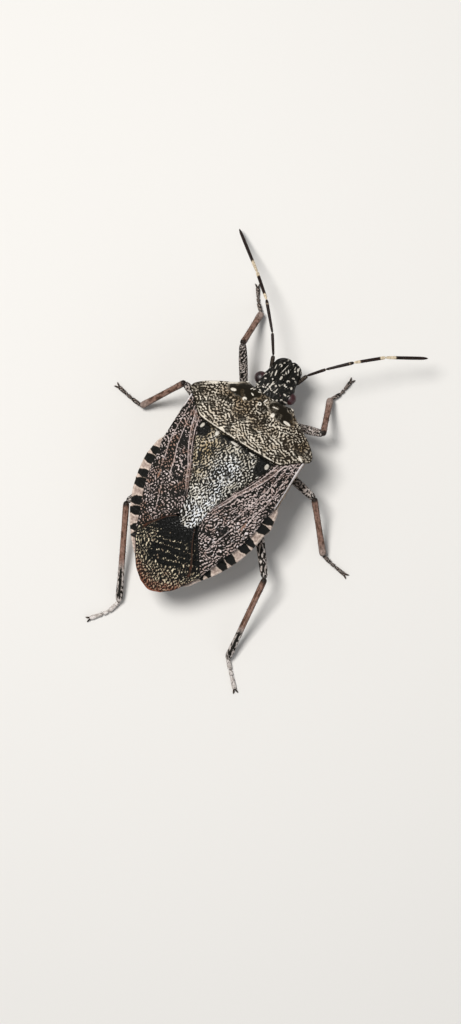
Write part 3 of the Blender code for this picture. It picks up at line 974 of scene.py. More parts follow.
@dataclass
class Pronotum:
    """Shield over the front of the thorax: ridged, with smooth dark pads and callous spots."""

    place: Place
    corner: Pair = (4.05, -0.10)
    front_corner: Pair = (1.52, -2.06)
    rear: float = 1.24
    wall: float = 0.09
    cols: int = 300
    rows: int = 122
    dents: Ovals = (
        ((-0.97, 1.03), (0.05, 0.045), 0), ((-0.16, 1.28), (0.05, 0.05), 0))
    knobs: Ovals = (
        ((-1.85, 1.19), (0.17, 0.09), 18), ((-1.02, 1.07), (0.13, 0.11), 30),
        ((0.82, 1.11), (0.11, 0.13), -20), ((1.74, 1.15), (0.23, 0.085), -4),
        ((-0.80, 1.53), (0.11, 0.035), -20), ((0.72, 1.56), (0.17, 0.035), 10),
        ((1.52, 2.03), (0.12, 0.055), -35), ((-1.46, 2.03), (0.10, 0.05), 35),
        ((1.02, 2.00), (0.11, 0.04), 8), ((-0.95, 2.01), (0.10, 0.04), -8),
        ((-0.55, 1.86), (0.09, 0.035), 25), ((0.30, 1.90), (0.09, 0.035), -15),
        ((-1.02, 1.80), (0.10, 0.03), 55), ((-0.88, 1.84), (0.09, 0.03), 55),
        ((-0.16, 1.28), (0.12, 0.11), 0), ((0.02, 1.60), (0.045, 0.16), -14),
        ((0.12, 1.42), (0.12, 0.03), -20), ((3.47, -0.15), (0.20, 0.065), -32))
    pad_ovals: Ovals = (
        ((-1.30, 1.42), (0.90, 0.45), 12), ((1.20, 1.42), (0.90, 0.46), -12),
        ((-0.94, 1.72), (0.60, 0.28), 4), ((1.02, 1.72), (0.56, 0.24), -4))

    def plan(self, u: Array, v: Array) -> tuple[Array, Array]:
        """Return the plan point of each grid point, right to left and front to rear.

        Args:
            u: across, 0 to 1.
            v: along, 0 to 1.

        Returns:
            The points' x and y.
        """
        cx, cy = self.front_corner
        side = [self.front_corner, (2.00, -1.66), (2.60, -1.33), (3.25, -0.95), (3.78, -0.53),
                (3.97, -0.31), self.corner]
        drop = [(x, float(shield_rear(x))) for x in (3.84, 3.55, 3.25, 2.95, 2.62, 1.9)]
        tail = [self.corner, (4.01, 0.03), *drop, (0.0, self.rear)]
        front = Route((-cx, cy), (-1.0, -1.96), (0.0, -1.90), (1.0, -1.96), (cx, cy))
        rear = Route(*[(-x, y) for x, y in tail], *tail[-2::-1])
        return fill_patch(front, rear, Route(*[(-x, y) for x, y in side]), Route(*side), u, v)

    def pads(self, r: Array, f: Array) -> Array:
        """Return the two smooth dark pads behind the head, with ragged edges."""
        r = r + 0.26 * (drift(r, f, 0.30, 301) - 0.5)
        f = f + 0.22 * (drift(r, f, 0.24, 302) - 0.5)
        return spots(r, f, self.pad_ovals)

    def callous(self, r: Array, f: Array) -> Array:
        """Return the raised pale spots."""
        return spots(r, f, self.knobs) * (1 - 0.95 * spots(r, f, self.dents))

    def hollows(self, x: Array, y: Array) -> Array:
        """Return the hollows between the ridges, which run crosswise in the rear half."""
        rear = smooth(-0.7, 0.5, y)
        return (worms(x, y, 0.160, 3, 60.0, 0.9, 0.44) * (1 - rear)
                + worms(x, y, 0.145, 4, 77.0, 0.60, 0.23 + 0.10 * smooth(1.0, 2.4, np.abs(x))) * rear)

    def shape(self, u: Array, v: Array) -> Points:
        """Lay the grid over the shield's surface.

        Args:
            u: across, 0 to 1.
            v: along, 0 to 1.

        Returns:
            The points' x, y and z.
        """
        x, y = self.plan(u, v)
        r, f = -x, -y
        pad, knob = self.pads(r, f), self.callous(r, f)
        rim = np.minimum(u, 1 - u)
        groove = 0.06 * bump(f, 0.90, 0.15) * smooth(3.6, 2.6, np.abs(r))
        fade = smooth(0.0, 0.022, rim) * smooth(0.0, 0.04, v)
        z = back(x, y) - groove + (0.045 * pad + 0.034 * knob) * fade
        z -= 0.040 * self.hollows(x, y) * (1 - pad) * (1 - knob) * fade
        z += 0.010 * (drift(x, y, 0.12, 305) - 0.5) * pad
        z -= np.exp(-(1 - v) * 80.0) * 0.07 + np.exp(-v * 30.0) * 0.05
        z += 0.05 * np.exp(-((rim - 0.012) / 0.010) ** 2) - 0.07 * np.exp(-rim * 90.0)
        z -= 0.03 * np.exp(-((rim - 0.036) / 0.016) ** 2)
        return x, y, z

    def marks(self, x: Array, y: Array, u: Array, v: Array) -> Marks:
        """Paint the shield, with a painted highlight of pale glints on its ridges.

        Args:
            x: millimetres to the left.
            y: millimetres to the rear.
            u: across, 0 to 1.
            v: along, 0 to 1.

        Returns:
            The patterns by name.
        """
        r, f = -x, -y
        pad, knob = self.pads(r, f), self.callous(r, f)
        edge = smooth(0.036, 0.028, np.minimum(u, 1 - u))
        reach = bump(np.abs(r), 2.60, 0.95) * smooth(1.45, 1.70, np.abs(r)) * (1 - 0.8 * smooth(1.9, 2.3, r))
        rim = edge * reach * smooth(0.16, 0.34, drift(r, f, 0.3, 23))
        pit = self.hollows(x, y) * (1 - 0.9 * rim)
        band = bump(v, 0.972, 0.007) * smooth(3.0, 2.6, np.abs(r))
        band = band * smooth(0.15, 0.4, drift(r, f, 0.25, 29))
        groove = smooth(0.980, 0.988, v)
        pit = np.maximum(pit * (1 - band), groove)
        front = smooth(1.25, 1.9, f) * 0.62
        blot = 0.75 * smooth(0.70, 0.88, drift(x, y, 0.36, 21)) + groove
        corner = 0.45 * spot(np.abs(r), f, (3.75, 0.35), (0.45, 0.35))
        dark = np.maximum.reduce([pad, front, blot, corner]) * (1 - knob) * (1 - rim)
        # Painted highlight: pale glints on scattered ridge bits, strongest right of the midline towards the
        # rear; they go into the pale mark.
        glint = smooth(0.60, 0.82, drift(x, y, 0.10, 24))
        light = glint * (0.35 + 0.45 * smooth(-0.4, 0.7, y) * bump(r, 0.6, 2.0)) * (1 - pit) * (1 - groove)
        flush = 0.75 * smooth(0.45, 0.75, drift(x, y, 0.7, 33)) * smooth(0.6, -0.4, y) + 0.25 * pad
        dark = dark * (1 - 0.22 * pad * smooth(0.55, 0.75, drift(x, y, 0.22, 37)))
        return {"pit": pit * (1 - pad) * (1 - knob), "dark": np.clip(dark, 0, 1),
                "pale": np.maximum.reduce([knob, 0.9 * rim, light, 0.6 * band]), "warm": flush}

    def build(self) -> Object:
        """Make the shield."""
        return thicken(shaped_grid("pronotum_shell", self.cols, self.rows, self.place,
                                   self.shape, self.marks), self.wall)


@dataclass
class Scutellum:
    """Long triangle between the wings, with callous spots along its base."""

    place: Place
    front: float = 1.02
    tip: float = 6.82
    wall: float = 0.07
    cols: int = 140
    rows: int = 232
    knobs: Ovals = (
        ((-2.17, -1.46), (0.09, 0.17), -14), ((2.15, -1.54), (0.11, 0.17), 6),
        ((-1.20, -1.42), (0.11, 0.16), 0), ((1.06, -1.40), (0.16, 0.05), -10),
        ((-0.05, -1.40), (0.25, 0.075), 0))

    def lines(self, u: Array, v: Array) -> tuple[Array, Array]:
        """Return the plan points, denser towards the tip."""
        v = v + 0.16 * v * (1 - v)
        y = self.front + (self.tip - self.front) * v
        return scutellum_width(y) * (2 * u - 1), y

    def callous(self, r: Array, f: Array) -> Array:
        """Return the pale spots of the base."""
        return spots(r, f, self.knobs)

    def hollows(self, x: Array, y: Array) -> Array:
        """Return the hollows between the ridges."""
        cover = 0.31 - 0.10 * smooth(4.3, 5.6, y) - 0.16 * bump(x, -0.45, 0.8)
        return worms(x, y, 0.145, 7, 30.0, 0.95, cover)

    def shape(self, u: Array, v: Array) -> Points:
        """Lay the grid over the plate's surface.

        Args:
            u: across, 0 to 1.
            v: along, 0 to 1.

        Returns:
            The points' x, y and z.
        """
        x, y = self.lines(u, v)
        r, f = -x, -y
        knob = self.callous(r, f)
        rim = np.minimum(u, 1 - u) * 2 * scutellum_width(y)
        z = back(x, y) + 0.04 * bump(y, 2.3, 1.1) * (1 - (2 * u - 1) ** 2)
        z += 0.034 * knob - 0.040 * self.hollows(x, y) * (1 - knob)
        z -= 0.09 * np.exp(-rim / 0.05) + 0.05 * np.exp(-np.abs(self.tip - y) / 0.06)
        z -= 0.17 * smooth(1.40, 1.20, y)
        return x, y, z

    def marks(self, x: Array, y: Array, u: Array, v: Array) -> Marks:
        """Paint the plate, with a painted highlight of bluish-white glints.

        Args:
            x: millimetres to the left.
            y: millimetres to the rear.
            u: across, 0 to 1.
            v: along, 0 to 1.

        Returns:
            The patterns by name.
        """
        r, f = -x, -y
        knob = self.callous(r, f)
        pit = self.hollows(x, y)
        base = smooth(-1.66, -1.42, f) * (0.45 + 0.5 * smooth(0.3, 0.7, drift(x, y, 0.25, 17)))
        rw = r + 0.3 * (drift(x, y, 0.3, 19) - 0.5)
        angle = np.maximum(spot(rw, f, (-2.05, -1.66), (0.46, 0.42), 20),
                           spot(rw, f, (2.0, -1.74), (0.40, 0.55), -20))
        blot = 0.7 * smooth(0.72, 0.9, drift(x, y, 0.34, 22)) * smooth(-5.8, -4.6, f)
        rim = 0.7 * np.exp(-np.minimum(u, 1 - u) * 2 * scutellum_width(y) / 0.05)
        dark = np.maximum.reduce([angle * 0.96, base, blot, rim]) * (1 - knob)
        # Painted highlight: a band of bluish-white glints right of the midline behind the base and glints
        # scattered over the rest, put in the pale mark; the paler tip is folded into the same mask.
        shine = bump(r + 0.5 * (drift(x, y, 0.6, 26) - 0.5), 0.42, 0.80) * smooth(-1.7, -2.4, f)
        sparkle = 0.35 + 0.65 * smooth(0.35, 0.7, drift(x, y, 0.10, 27))
        shine = np.maximum(shine, 0.8 * smooth(-4.6, -5.6, f)) * sparkle
        shine = np.maximum(shine, 0.35 * smooth(0.62, 0.8, drift(x, y, 0.11, 28)))
        olive = smooth(0.3, -1.0, r) * smooth(-4.9, -3.6, f) * (0.35 + 0.65 * drift(x, y, 0.9, 18))
        return {"pit": pit * (1 - knob), "dark": dark,
                "pale": np.maximum(0.30 * knob, np.clip(shine, 0, 1) * (1 - knob)),
                "warm": np.maximum(olive * (1 - knob), 0.30 * knob)}

    def build(self) -> Object:
        """Make the plate."""
        return thicken(shaped_grid("scutellum_shell", self.cols, self.rows, self.place,
                                   self.shape, self.marks), self.wall)


@dataclass
class Corium:
    """Leathery part of a forewing, with veins and a pale front edge."""

    place: Place
    side: Side
    wall: float = 0.06
    cols: int = 104
    rows: int = 280

    def seam(self) -> list[Pair]:
        """Return the border with the thin end of the wing; the left wing lies a little turned."""
        if self.side is Side.LEFT:
            return [(0.66, 6.40), (0.95, 6.62), (1.38, 7.05), (1.80, 7.52), (2.18, 7.98), (2.42, 8.32)]
        return [(0.62, 6.45), (0.86, 6.75), (1.22, 7.32), (1.62, 7.92), (1.96, 8.46), (2.20, 8.74)]

    def plan(self, u: Array, v: Array) -> tuple[Array, Array]:
        """Return plan points from the scutellum's edge outward and from front to rear.

        Args:
            u: across, 0 to 1.
            v: along, 0 to 1.

        Returns:
            The points' x and y.
        """
        seam = self.seam()
        root = [(float(scutellum_width(y)) - 0.06, y)
                for y in (0.98, 1.6, 2.3, 3.0, 3.6, 4.2, 4.8, 5.4, 5.9, 6.2)]
        stops = (-0.10, 1.0, 2.0, 3.2, 4.0, 5.0, 5.7, 6.4, 7.0, 7.6, 8.2)
        edge = [(float(cover_width(y)), y) for y in stops if y < seam[-1][1] - 0.5]
        inner = Route(*root, seam[0])
        outer = Route(*edge, seam[-1])
        front = Route(root[0], (2.95, 0.60), (3.4, 0.20), edge[0])
        return fill_patch(front, Route(*seam), inner, outer, u, v)

    def veins(self, u: Array, v: Array, x: Array, y: Array) -> tuple[Array, Array]:
        """Return the raised veins and the dark grooves beside them.

        Args:
            u: across, 0 to 1.
            v: along, 0 to 1.
            x: millimetres to the left.
            y: millimetres to the rear.

        Returns:
            The veins and the grooves, 0 to 1.
        """
        gap = np.abs(x) - scutellum_width(y)
        near, reach = 1 - 0.14 * (y - 1.3), smooth(5.6, 4.6, y)
        gap = gap + 0.05 * (drift(x, y, 0.5, 47) - 0.5)
        lines = [bump(gap, 0.16 * near, 0.032) * reach, bump(gap, 0.44 * near, 0.036) * reach,
                 bump(u, 0.56 - 0.12 * v, 0.016) * smooth(0.80, 0.5, v),
                 bump(u, 0.80 - 0.08 * v, 0.014) * smooth(0.70, 0.45, v),
                 0.7 * bump(u, 0.62, 0.012) * smooth(0.55, 0.75, v) * smooth(0.98, 0.9, v)]
        ragged = smooth(0.25, 0.55, drift(x, y, 0.16, 48))
        cuts = [0.8 * bump(gap, 0.05, 0.03) * reach,
                0.7 * bump(gap, 0.25 * near, 0.025) * reach * ragged,
                0.8 * bump(gap, 0.55 * near, 0.025) * reach * ragged]
        return np.maximum.reduce(lines), np.maximum.reduce(cuts)

    def hollows(self, x: Array, y: Array) -> Array:
        """Return the hollows between the ridges."""
        turn = self.side.value
        rear = smooth(5.0, 7.0, y) * (self.side is Side.RIGHT)
        return worms(x, y, 0.140, 9 + turn, 20.0 * turn, 0.9, 0.47 + 0.10 * turn + 0.16 * rear)

    def shape(self, u: Array, v: Array) -> Points:
        """Lay the grid over the wing's surface.

        Args:
            u: across, 0 to 1.
            v: along, 0 to 1.

        Returns:
            The points' x, y and z.
        """
        x, y = self.plan(u, v)
        vein, cut = self.veins(u, v, x, y)
        x = x * self.side.value
        edge = smooth(0.930, 0.950, u)
        z = back(x, y) - 0.03 - 0.10 * np.exp(-u * 22.0) - 0.12 * np.exp(-v * 26.0)
        z += 0.030 * vein - 0.035 * cut - 0.036 * self.hollows(x, y) * (1 - vein) * (1 - edge)
        z += 0.05 * bump(u, 0.968, 0.020) * smooth(0.5, 0.3, v) - 0.08 * np.exp(-(1 - u) * 110.0)
        z -= 0.05 * np.exp(-(1 - v) * 50.0) + 0.15 * smooth(0.06, -0.08, y - shield_rear(np.abs(x)))
        return x, y, z

    def marks(self, x: Array, y: Array, u: Array, v: Array) -> Marks:
        """Paint the wing, with a painted highlight of pale glints on its ridges.

        Args:
            x: millimetres to the left.
            y: millimetres to the rear.
            u: across, 0 to 1.
            v: along, 0 to 1.

        Returns:
            The patterns by name.
        """
        turn = self.side.value
        vein, cut = self.veins(u, v, np.abs(x), y)
        reach = 3.5 if self.side is Side.RIGHT else 1.3
        start = 0.930 + 0.036 * smooth(0.9, 2.2, y)
        front_line = smooth(start, start + 0.012, u) * smooth(reach, reach - 0.4, y)
        blot = 0.85 * smooth(0.68, 0.84, drift(x, y, 0.30, 25 + turn))
        rust = smooth(0.45, 0.75, drift(x, y, 0.42, 29 + turn))
        streak = spot(np.abs(x), y, (2.82, 5.05), (0.07, 0.30), 6)
        pit = np.maximum(self.hollows(x, y) * (1 - 0.95 * vein), cut) * (1 - front_line)
        lining = 0.85 * bump(u, start - 0.012, 0.010) * smooth(5.2, 4.6, y) * smooth(0.8, 1.3, y)
        dark = np.maximum(blot * (1 - vein), 0.9 * smooth(0.987, 1.0, v)) * (1 - front_line)
        dark = np.maximum(dark, lining)
        # Painted highlight: pale glints scattered over the ridges, stronger on the right wing between 4 and
        # 7.8 mm back; they go into the pale mark.
        shine = smooth(4.0, 5.2, y) * smooth(7.8, 6.8, y) * (self.side is Side.RIGHT)
        light = smooth(0.58, 0.80, drift(x, y, 0.10, 35 + turn)) * (0.30 + 0.40 * shine)
        gap = (np.abs(x) - scutellum_width(y)) / (1 - 0.14 * (y - 1.3))
        strap = bump(gap, 0.32, 0.10) * smooth(5.6, 4.6, y)
        pit = pit * (1 - 0.35 * strap)
        flush = np.maximum.reduce([rust * (0.55 + 0.25 * turn), 0.25 * vein, streak, 0.5 * strap])
        return {"pit": pit * (1 - 0.6 * streak), "dark": dark * (1 - front_line) * (1 - streak),
                "pale": np.maximum.reduce([front_line, 0.22 * vein, light]), "warm": flush}

    def build(self) -> Object:
        """Make the wing's leathery part.

        Returns:
            The object.
        """
        obj = shaped_grid(f"corium_{self.side.name.lower()}", self.cols, self.rows, self.place,
                          self.shape, self.marks)
        if self.side is Side.RIGHT:
            with editing(obj):
                bpy.ops.mesh.flip_normals()
        return thicken(obj, self.wall)


@dataclass
class Membrane:
    """Thin smoky end of a forewing, with long veins and pale specks; the left one lies on top."""

    place: Place
    side: Side
    tip: float = 10.96
    wall: float = 0.03

    def plan(self, u: Array, v: Array) -> tuple[Array, Array]:
        """Return plan points from right to left and from front to rear.

        Args:
            u: across, 0 to 1.
            v: along, 0 to 1.

        Returns:
            The points' x and y.
        """
        rim = [(2.20, 8.76), (1.96, 9.13), (1.64, 9.67), (1.28, 10.20), (0.66, 10.74)]
        seam = [(0.80, 6.50), (1.26, 7.27), (1.67, 7.87), (2.01, 8.42)]
        if self.side is Side.LEFT:
            left = Route((0.80, 6.50), (1.32, 6.84), (1.78, 7.34), (2.20, 7.86), (2.34, 8.34), *rim)
            right = Route((-0.60, 6.62), (-0.76, 7.00), (-1.06, 7.60), (-1.38, 8.12), (-1.62, 8.62),
                          (-1.72, 9.00), (-1.64, 9.55), (-1.32, 10.16), (-0.66, 10.74))
            front = Route((-0.60, 6.62), (0.1, 6.60), (0.80, 6.50))
            rear = Route((-0.66, 10.74), (0.0, self.tip), (0.66, 10.74))
        else:
            right = Route(*[(-x, y) for x, y in seam + rim[:4]])
            left = Route((-0.10, 6.65), (-0.40, 7.8), (-0.70, 8.9), (-0.80, 10.2))
            front = Route((-0.80, 6.50), (-0.10, 6.65))
            rear = Route((-1.28, 10.20), (-0.80, 10.25))
        return fill_patch(front, rear, right, left, u, v)

    def veins(self, y: Array, u: Array) -> Array:
        """Return the long veins, which spread a little towards the rear.

        Args:
            y: millimetres to the rear.
            u: across, 0 to 1.

        Returns:
            The pattern, 0 to 1.
        """
        count = 8 if self.side is Side.LEFT else 4
        wave = 0.012 * np.sin(y * 2.3)
        phase = np.abs(((u + wave) * count) % 1.0 - 0.5) * 2
        return smooth(0.80, 0.97, phase) * smooth(10.5, 9.5, y)

    def shape(self, u: Array, v: Array) -> Points:
        """Lay the grid over the wing's surface.

        Args:
            u: across, 0 to 1.
            v: along, 0 to 1.

        Returns:
            The points' x, y and z.
        """
        x, y = self.plan(u, v)
        level = 0.13 if self.side is Side.LEFT else 0.185
        z = back(x, y) - level + 0.026 * self.veins(y, u)
        z += 0.012 * (drift(x, y, 0.35, 44) - 0.5) - 0.05 * smooth(10.3, 10.95, y)
        z += 0.014 * self.specks(x, y)
        return x, y, z

    def specks(self, x: Array, y: Array) -> Array:
        """Return the short raised dashes of the membrane."""
        nick = 0.5 * pits(x, y, (0.12, 0.12), 59, 0.3)
        return smooth(0.15, 0.65, maze(x, y, 0.135, 58, 0.0, 0.75) - nick)

    def marks(self, x: Array, y: Array, u: Array, v: Array) -> Marks:
        """Paint the black field, its pale specks, the smooth seam and the brown rim.

        Args:
            x: millimetres to the left.
            y: millimetres to the rear.
            u: across, 0 to 1.
            v: along, 0 to 1.

        Returns:
            The patterns by name.
        """
        vein, speck = self.veins(y, u), self.specks(x, y)
        rear = smooth(8.8, 9.9, y + 0.7 * (drift(x, y, 0.4, 57) - 0.5))
        flank = smooth(0.7, 1.5, x) * smooth(7.3, 8.1, y)
        flank = flank + 0.8 * smooth(-0.8, -1.2, x) * smooth(8.3, 8.9, y)
        phase = (y - 0.28 * x + 0.22 * (drift(x, y, 0.45, 68) - 0.5)) % 0.38
        rows = (0.50 + 0.36 * drift(x, y, 0.3, 70)) * smooth(7.0, 8.0, y) * bump(phase, 0.19, 0.095)
        amount = np.clip(rows + 0.62 * np.clip(flank, 0, 1) + 0.95 * rear, 0, 1)
        cloud = drift(x, y, 0.13, 63) * 0.6 + drift(x, y, 0.4, 64) * 0.4
        gate = smooth(0.95 - amount, 1.12 - amount, cloud)
        light = speck * gate * (1 - 0.9 * vein)
        bright = smooth(0.35, 0.80, drift(x, y, 0.10, 66))
        seam = smooth(0.900, 0.925, u) * smooth(0.975, 0.950, u) * smooth(8.4, 8.0, y)
        suture = smooth(0.060, 0.048, u) * smooth(0.012, 0.024, u) * smooth(9.6, 8.9, y)
        even = np.maximum(seam, suture) * (self.side is Side.LEFT)
        dot = 0.75 * spot(-x, -y, (0.74, -7.78), (0.08, 0.13), 20)
        dot = dot * smooth(0.2, 0.6, drift(x, y, 0.10, 65))
        ring = bump(np.hypot((x + 0.86) / 0.36, (y - 8.05) / 0.74), 1.0, 0.10)
        ring = ring * smooth(0.30, 0.55, drift(x, y, 0.12, 62))
        rim = smooth(10.2, 10.75, y + 0.45 * np.abs(x) + 0.2 * (drift(x, y, 0.2, 67) - 0.5))
        lip = smooth(0.960, 0.985, v)
        light = np.maximum(light * (1 - even), 0.65 * ring * speck)
        pit = np.maximum(0.5 * vein, 0.75 * (1 - speck)) * (1 - light) * (1 - even)
        pale = np.maximum(light * (0.30 + 0.80 * bright) * (1 - 0.62 * rim), dot)
        dark = np.clip(1 - 0.80 * rim - 0.25 * rear, 0, 1) * (1 - light) * (1 - 0.42 * even) * (1 - dot)
        tint = 0.40 * smooth(0.6, 0.8, drift(x, y, 0.16, 69))
        return {"pit": pit * (1 - lip), "dark": dark * (1 - lip), "pale": pale * (1 - 0.8 * lip),
                "warm": rim + 0.25 * rear + 0.32 * even + tint}

    def build(self) -> Object:
        """Make the thin end of the wing."""
        cols, rows = (132, 176) if self.side is Side.LEFT else (64, 150)
        return thicken(shaped_grid(f"membrane_{self.side.name.lower()}_film", cols, rows, self.place,
                                   self.shape, self.marks), self.wall)


@dataclass
class Abdomen:
    """Ringed belly with the banded margin that shows beside the wings."""

    place: Place
    front: float = 2.75
    rear: float = 9.92
    seams: tuple[float, ...] = (4.28, 5.80, 7.40, 8.70)
    bands: tuple[Pair, ...] = ((3.80, 4.22), (4.34, 4.88), (5.34, 5.76), (5.86, 6.38),
                                              (6.92, 7.34), (7.46, 7.88), (8.36, 8.66), (8.74, 8.98))
    cols: int = 190
    rows: int = 250
    stations: Triple = (0.60, 0.65, 0.82)
    edge_lift: float = 0.20
    right_tuck: float = 0.13

    def outer(self, u: Array, y: Array) -> Array:
        """Return the half width, a little less on the right, where the margin tips down."""
        right = smooth(4.4, 5.0, y) * smooth(9.6, 9.0, y) * (u < 0.5)
        return body_width(y) - 0.16 * smooth(3.5, 3.0, y) - self.right_tuck * right

    def section(self, u: Array, y: Array) -> tuple[Array, Array]:
        """Return a point round the section: belly below, margin beside and a hidden lid on top.

        Args:
            u: across, 0 to 1.
            y: millimetres to the rear.

        Returns:
            The points' x and z.
        """
        half = np.abs(2 * u - 1)
        inner, outer = cover_width(y) - 0.14, self.outer(u, y)
        top, lift = wing_edge(y), self.edge_lift * smooth(8.4, 7.4, y)
        side, rim, inside = self.stations
        below = outer * np.sin(np.clip(half / side, 0, 1) * math.pi / 2)
        rise = np.clip((half - side) / (rim - side), 0, 1)
        strip = np.clip((half - rim) / (inside - rim), 0, 1)
        lid = np.clip((half - inside) / (1 - inside), 0, 1)
        x = np.where(half <= side, below, outer + 0.03 * np.sin(rise * math.pi))
        x = np.where(half > rim, outer + (inner - outer) * strip, x)
        x = np.where(half > inside, inner * (1 - lid), x)
        z = np.where(half <= side, belly(below, y), top - 0.52 + 0.23 * rise)
        z = np.where(half > rim, top - 0.29 + (0.14 + lift) * strip ** 0.8, z)
        drop = np.clip(lid / 0.2, 0, 1)
        z = np.where(half > inside, (top - 0.15 + lift) * (1 - drop) + (back(x, y) - 0.55) * drop, z)
        return np.where(u < 0.5, -x, x), z

    def plain(self, u: Array, v: Array) -> Points:
        """Wrap the grid round the belly.

        Args:
            u: across, 0 to 1.
            v: along, 0 to 1.

        Returns:
            The points' x, y and z.
        """
        y = self.front + (self.rear - self.front) * v
        x, z = self.section(u, y)
        close = rounded(v, 0.01, 0.035)
        rim = wing_edge(y) - 0.40
        curl = 0.25 + 0.75 * round_end((1 - v) / 0.09)
        z = np.where(z < rim, rim - (rim - z) * curl, z)
        centre = (back(0 * y, y) + keel(y)) / 2 - 0.1
        centre = centre + (rim - centre) * smooth(0.85, 0.98, v)
        return x * close, y, centre + (z - centre) * close

    def relief(self, x: Array, y: Array, u: Array, v: Array) -> Array:
        """Return the grooves between the rings and the grain of the plates.

        Args:
            x: millimetres to the left.
            y: millimetres to the rear.
            u: across, 0 to 1.
            v: along, 0 to 1.

        Returns:
            The heights, in millimetres.
        """
        half = np.abs(2 * u - 1)
        ends = smooth(0.0, 0.03, v) * smooth(1.0, 0.96, v)
        seam = np.maximum.reduce([bump(y, s, 0.040) for s in self.seams])
        fold = np.maximum.reduce([bump(y, s + 0.10, 0.10) for s in self.seams])
        margin = smooth(0.60, 0.66, half) * smooth(0.84, 0.80, half)
        under = smooth(0.62, 0.56, half)
        grain = 0.5 + 0.5 * np.clip(maze(12.0 * u, y, 0.16, 76), -1, 1)
        return ends * ((margin + under) * (0.022 * fold - 0.045 * seam) + 0.012 * grain * margin
                       + 0.02 * margin * bump(half, 0.67, 0.012))

    def marks(self, x: Array, y: Array, u: Array, v: Array) -> Marks:
        """Paint the bands above and the pale, spotted belly below.

        Args:
            x: millimetres to the left.
            y: millimetres to the rear.
            u: across, 0 to 1.
            v: along, 0 to 1.

        Returns:
            The patterns by name.
        """
        half = np.abs(2 * u - 1)
        above = smooth(0.585, 0.605, half)
        inward = np.clip(self.outer(u, y) - np.abs(x), 0, 2)
        slope = (body_width(y + 0.02) - body_width(y - 0.02)) / 0.04
        along = y - slope * inward / (1 + slope ** 2) + 0.03 * (drift(x, y, 0.10, 71) - 0.5)
        along = along - 0.17 * (u < 0.5) * bump(y, 5.48, 0.40)
        taper = 0.10 * smooth(0.02, 0.34, inward) - 0.06
        band = np.maximum.reduce([smooth(a - taper - 0.015, a - taper + 0.015, along)
                                  * smooth(b + taper + 0.015, b + taper - 0.015, along)
                                  for a, b in self.bands])
        hem = smooth(0.09, 0.05, inward) * smooth(0.66, 0.63, half)
        band = band * (1 - 0.8 * hem * smooth(0.35, 0.6, drift(x, y, 0.2, 72)))
        frame = np.maximum.reduce([bump(along, e, 0.045) for a, b in self.bands
                                   for e in (a - taper - 0.04, b + taper + 0.04)])
        centre = smooth(0.06, 0.11, inward) * (1 - np.clip(1.2 * frame, 0, 1))
        below = 1 - above
        sides = [(float(body_width(s)), s) for s in self.seams]
        blot = spots(np.abs(x), y, [((w - 0.40, s), (0.15, 0.13), 0) for w, s in sides])
        stigma = spots(np.abs(x), y, [((w - 0.62, s + 0.75), (0.06, 0.05), 0) for w, s in sides[:3]])
        tail = smooth(8.9, 9.5, y) * above
        return {"pit": below * (0.25 + 0.60 * smooth(0.4, 2.6, np.abs(x))),
                "dark": np.maximum.reduce([0.97 * band * above, 0.8 * blot * below, 0.9 * stigma * below]),
                "pale": above * (1 - band) * (0.95 - 0.60 * centre) + below * 0.15,
                "warm": np.clip(above * centre * 0.75 + below * 0.12 + 0.3 * tail, 0, 1)}

    def build(self) -> Object:
        """Make the belly."""
        return close_mesh(shaped_grid("abdomen_rings", self.cols, self.rows, self.place,
                                      raised(self.plain, self.relief), self.marks))


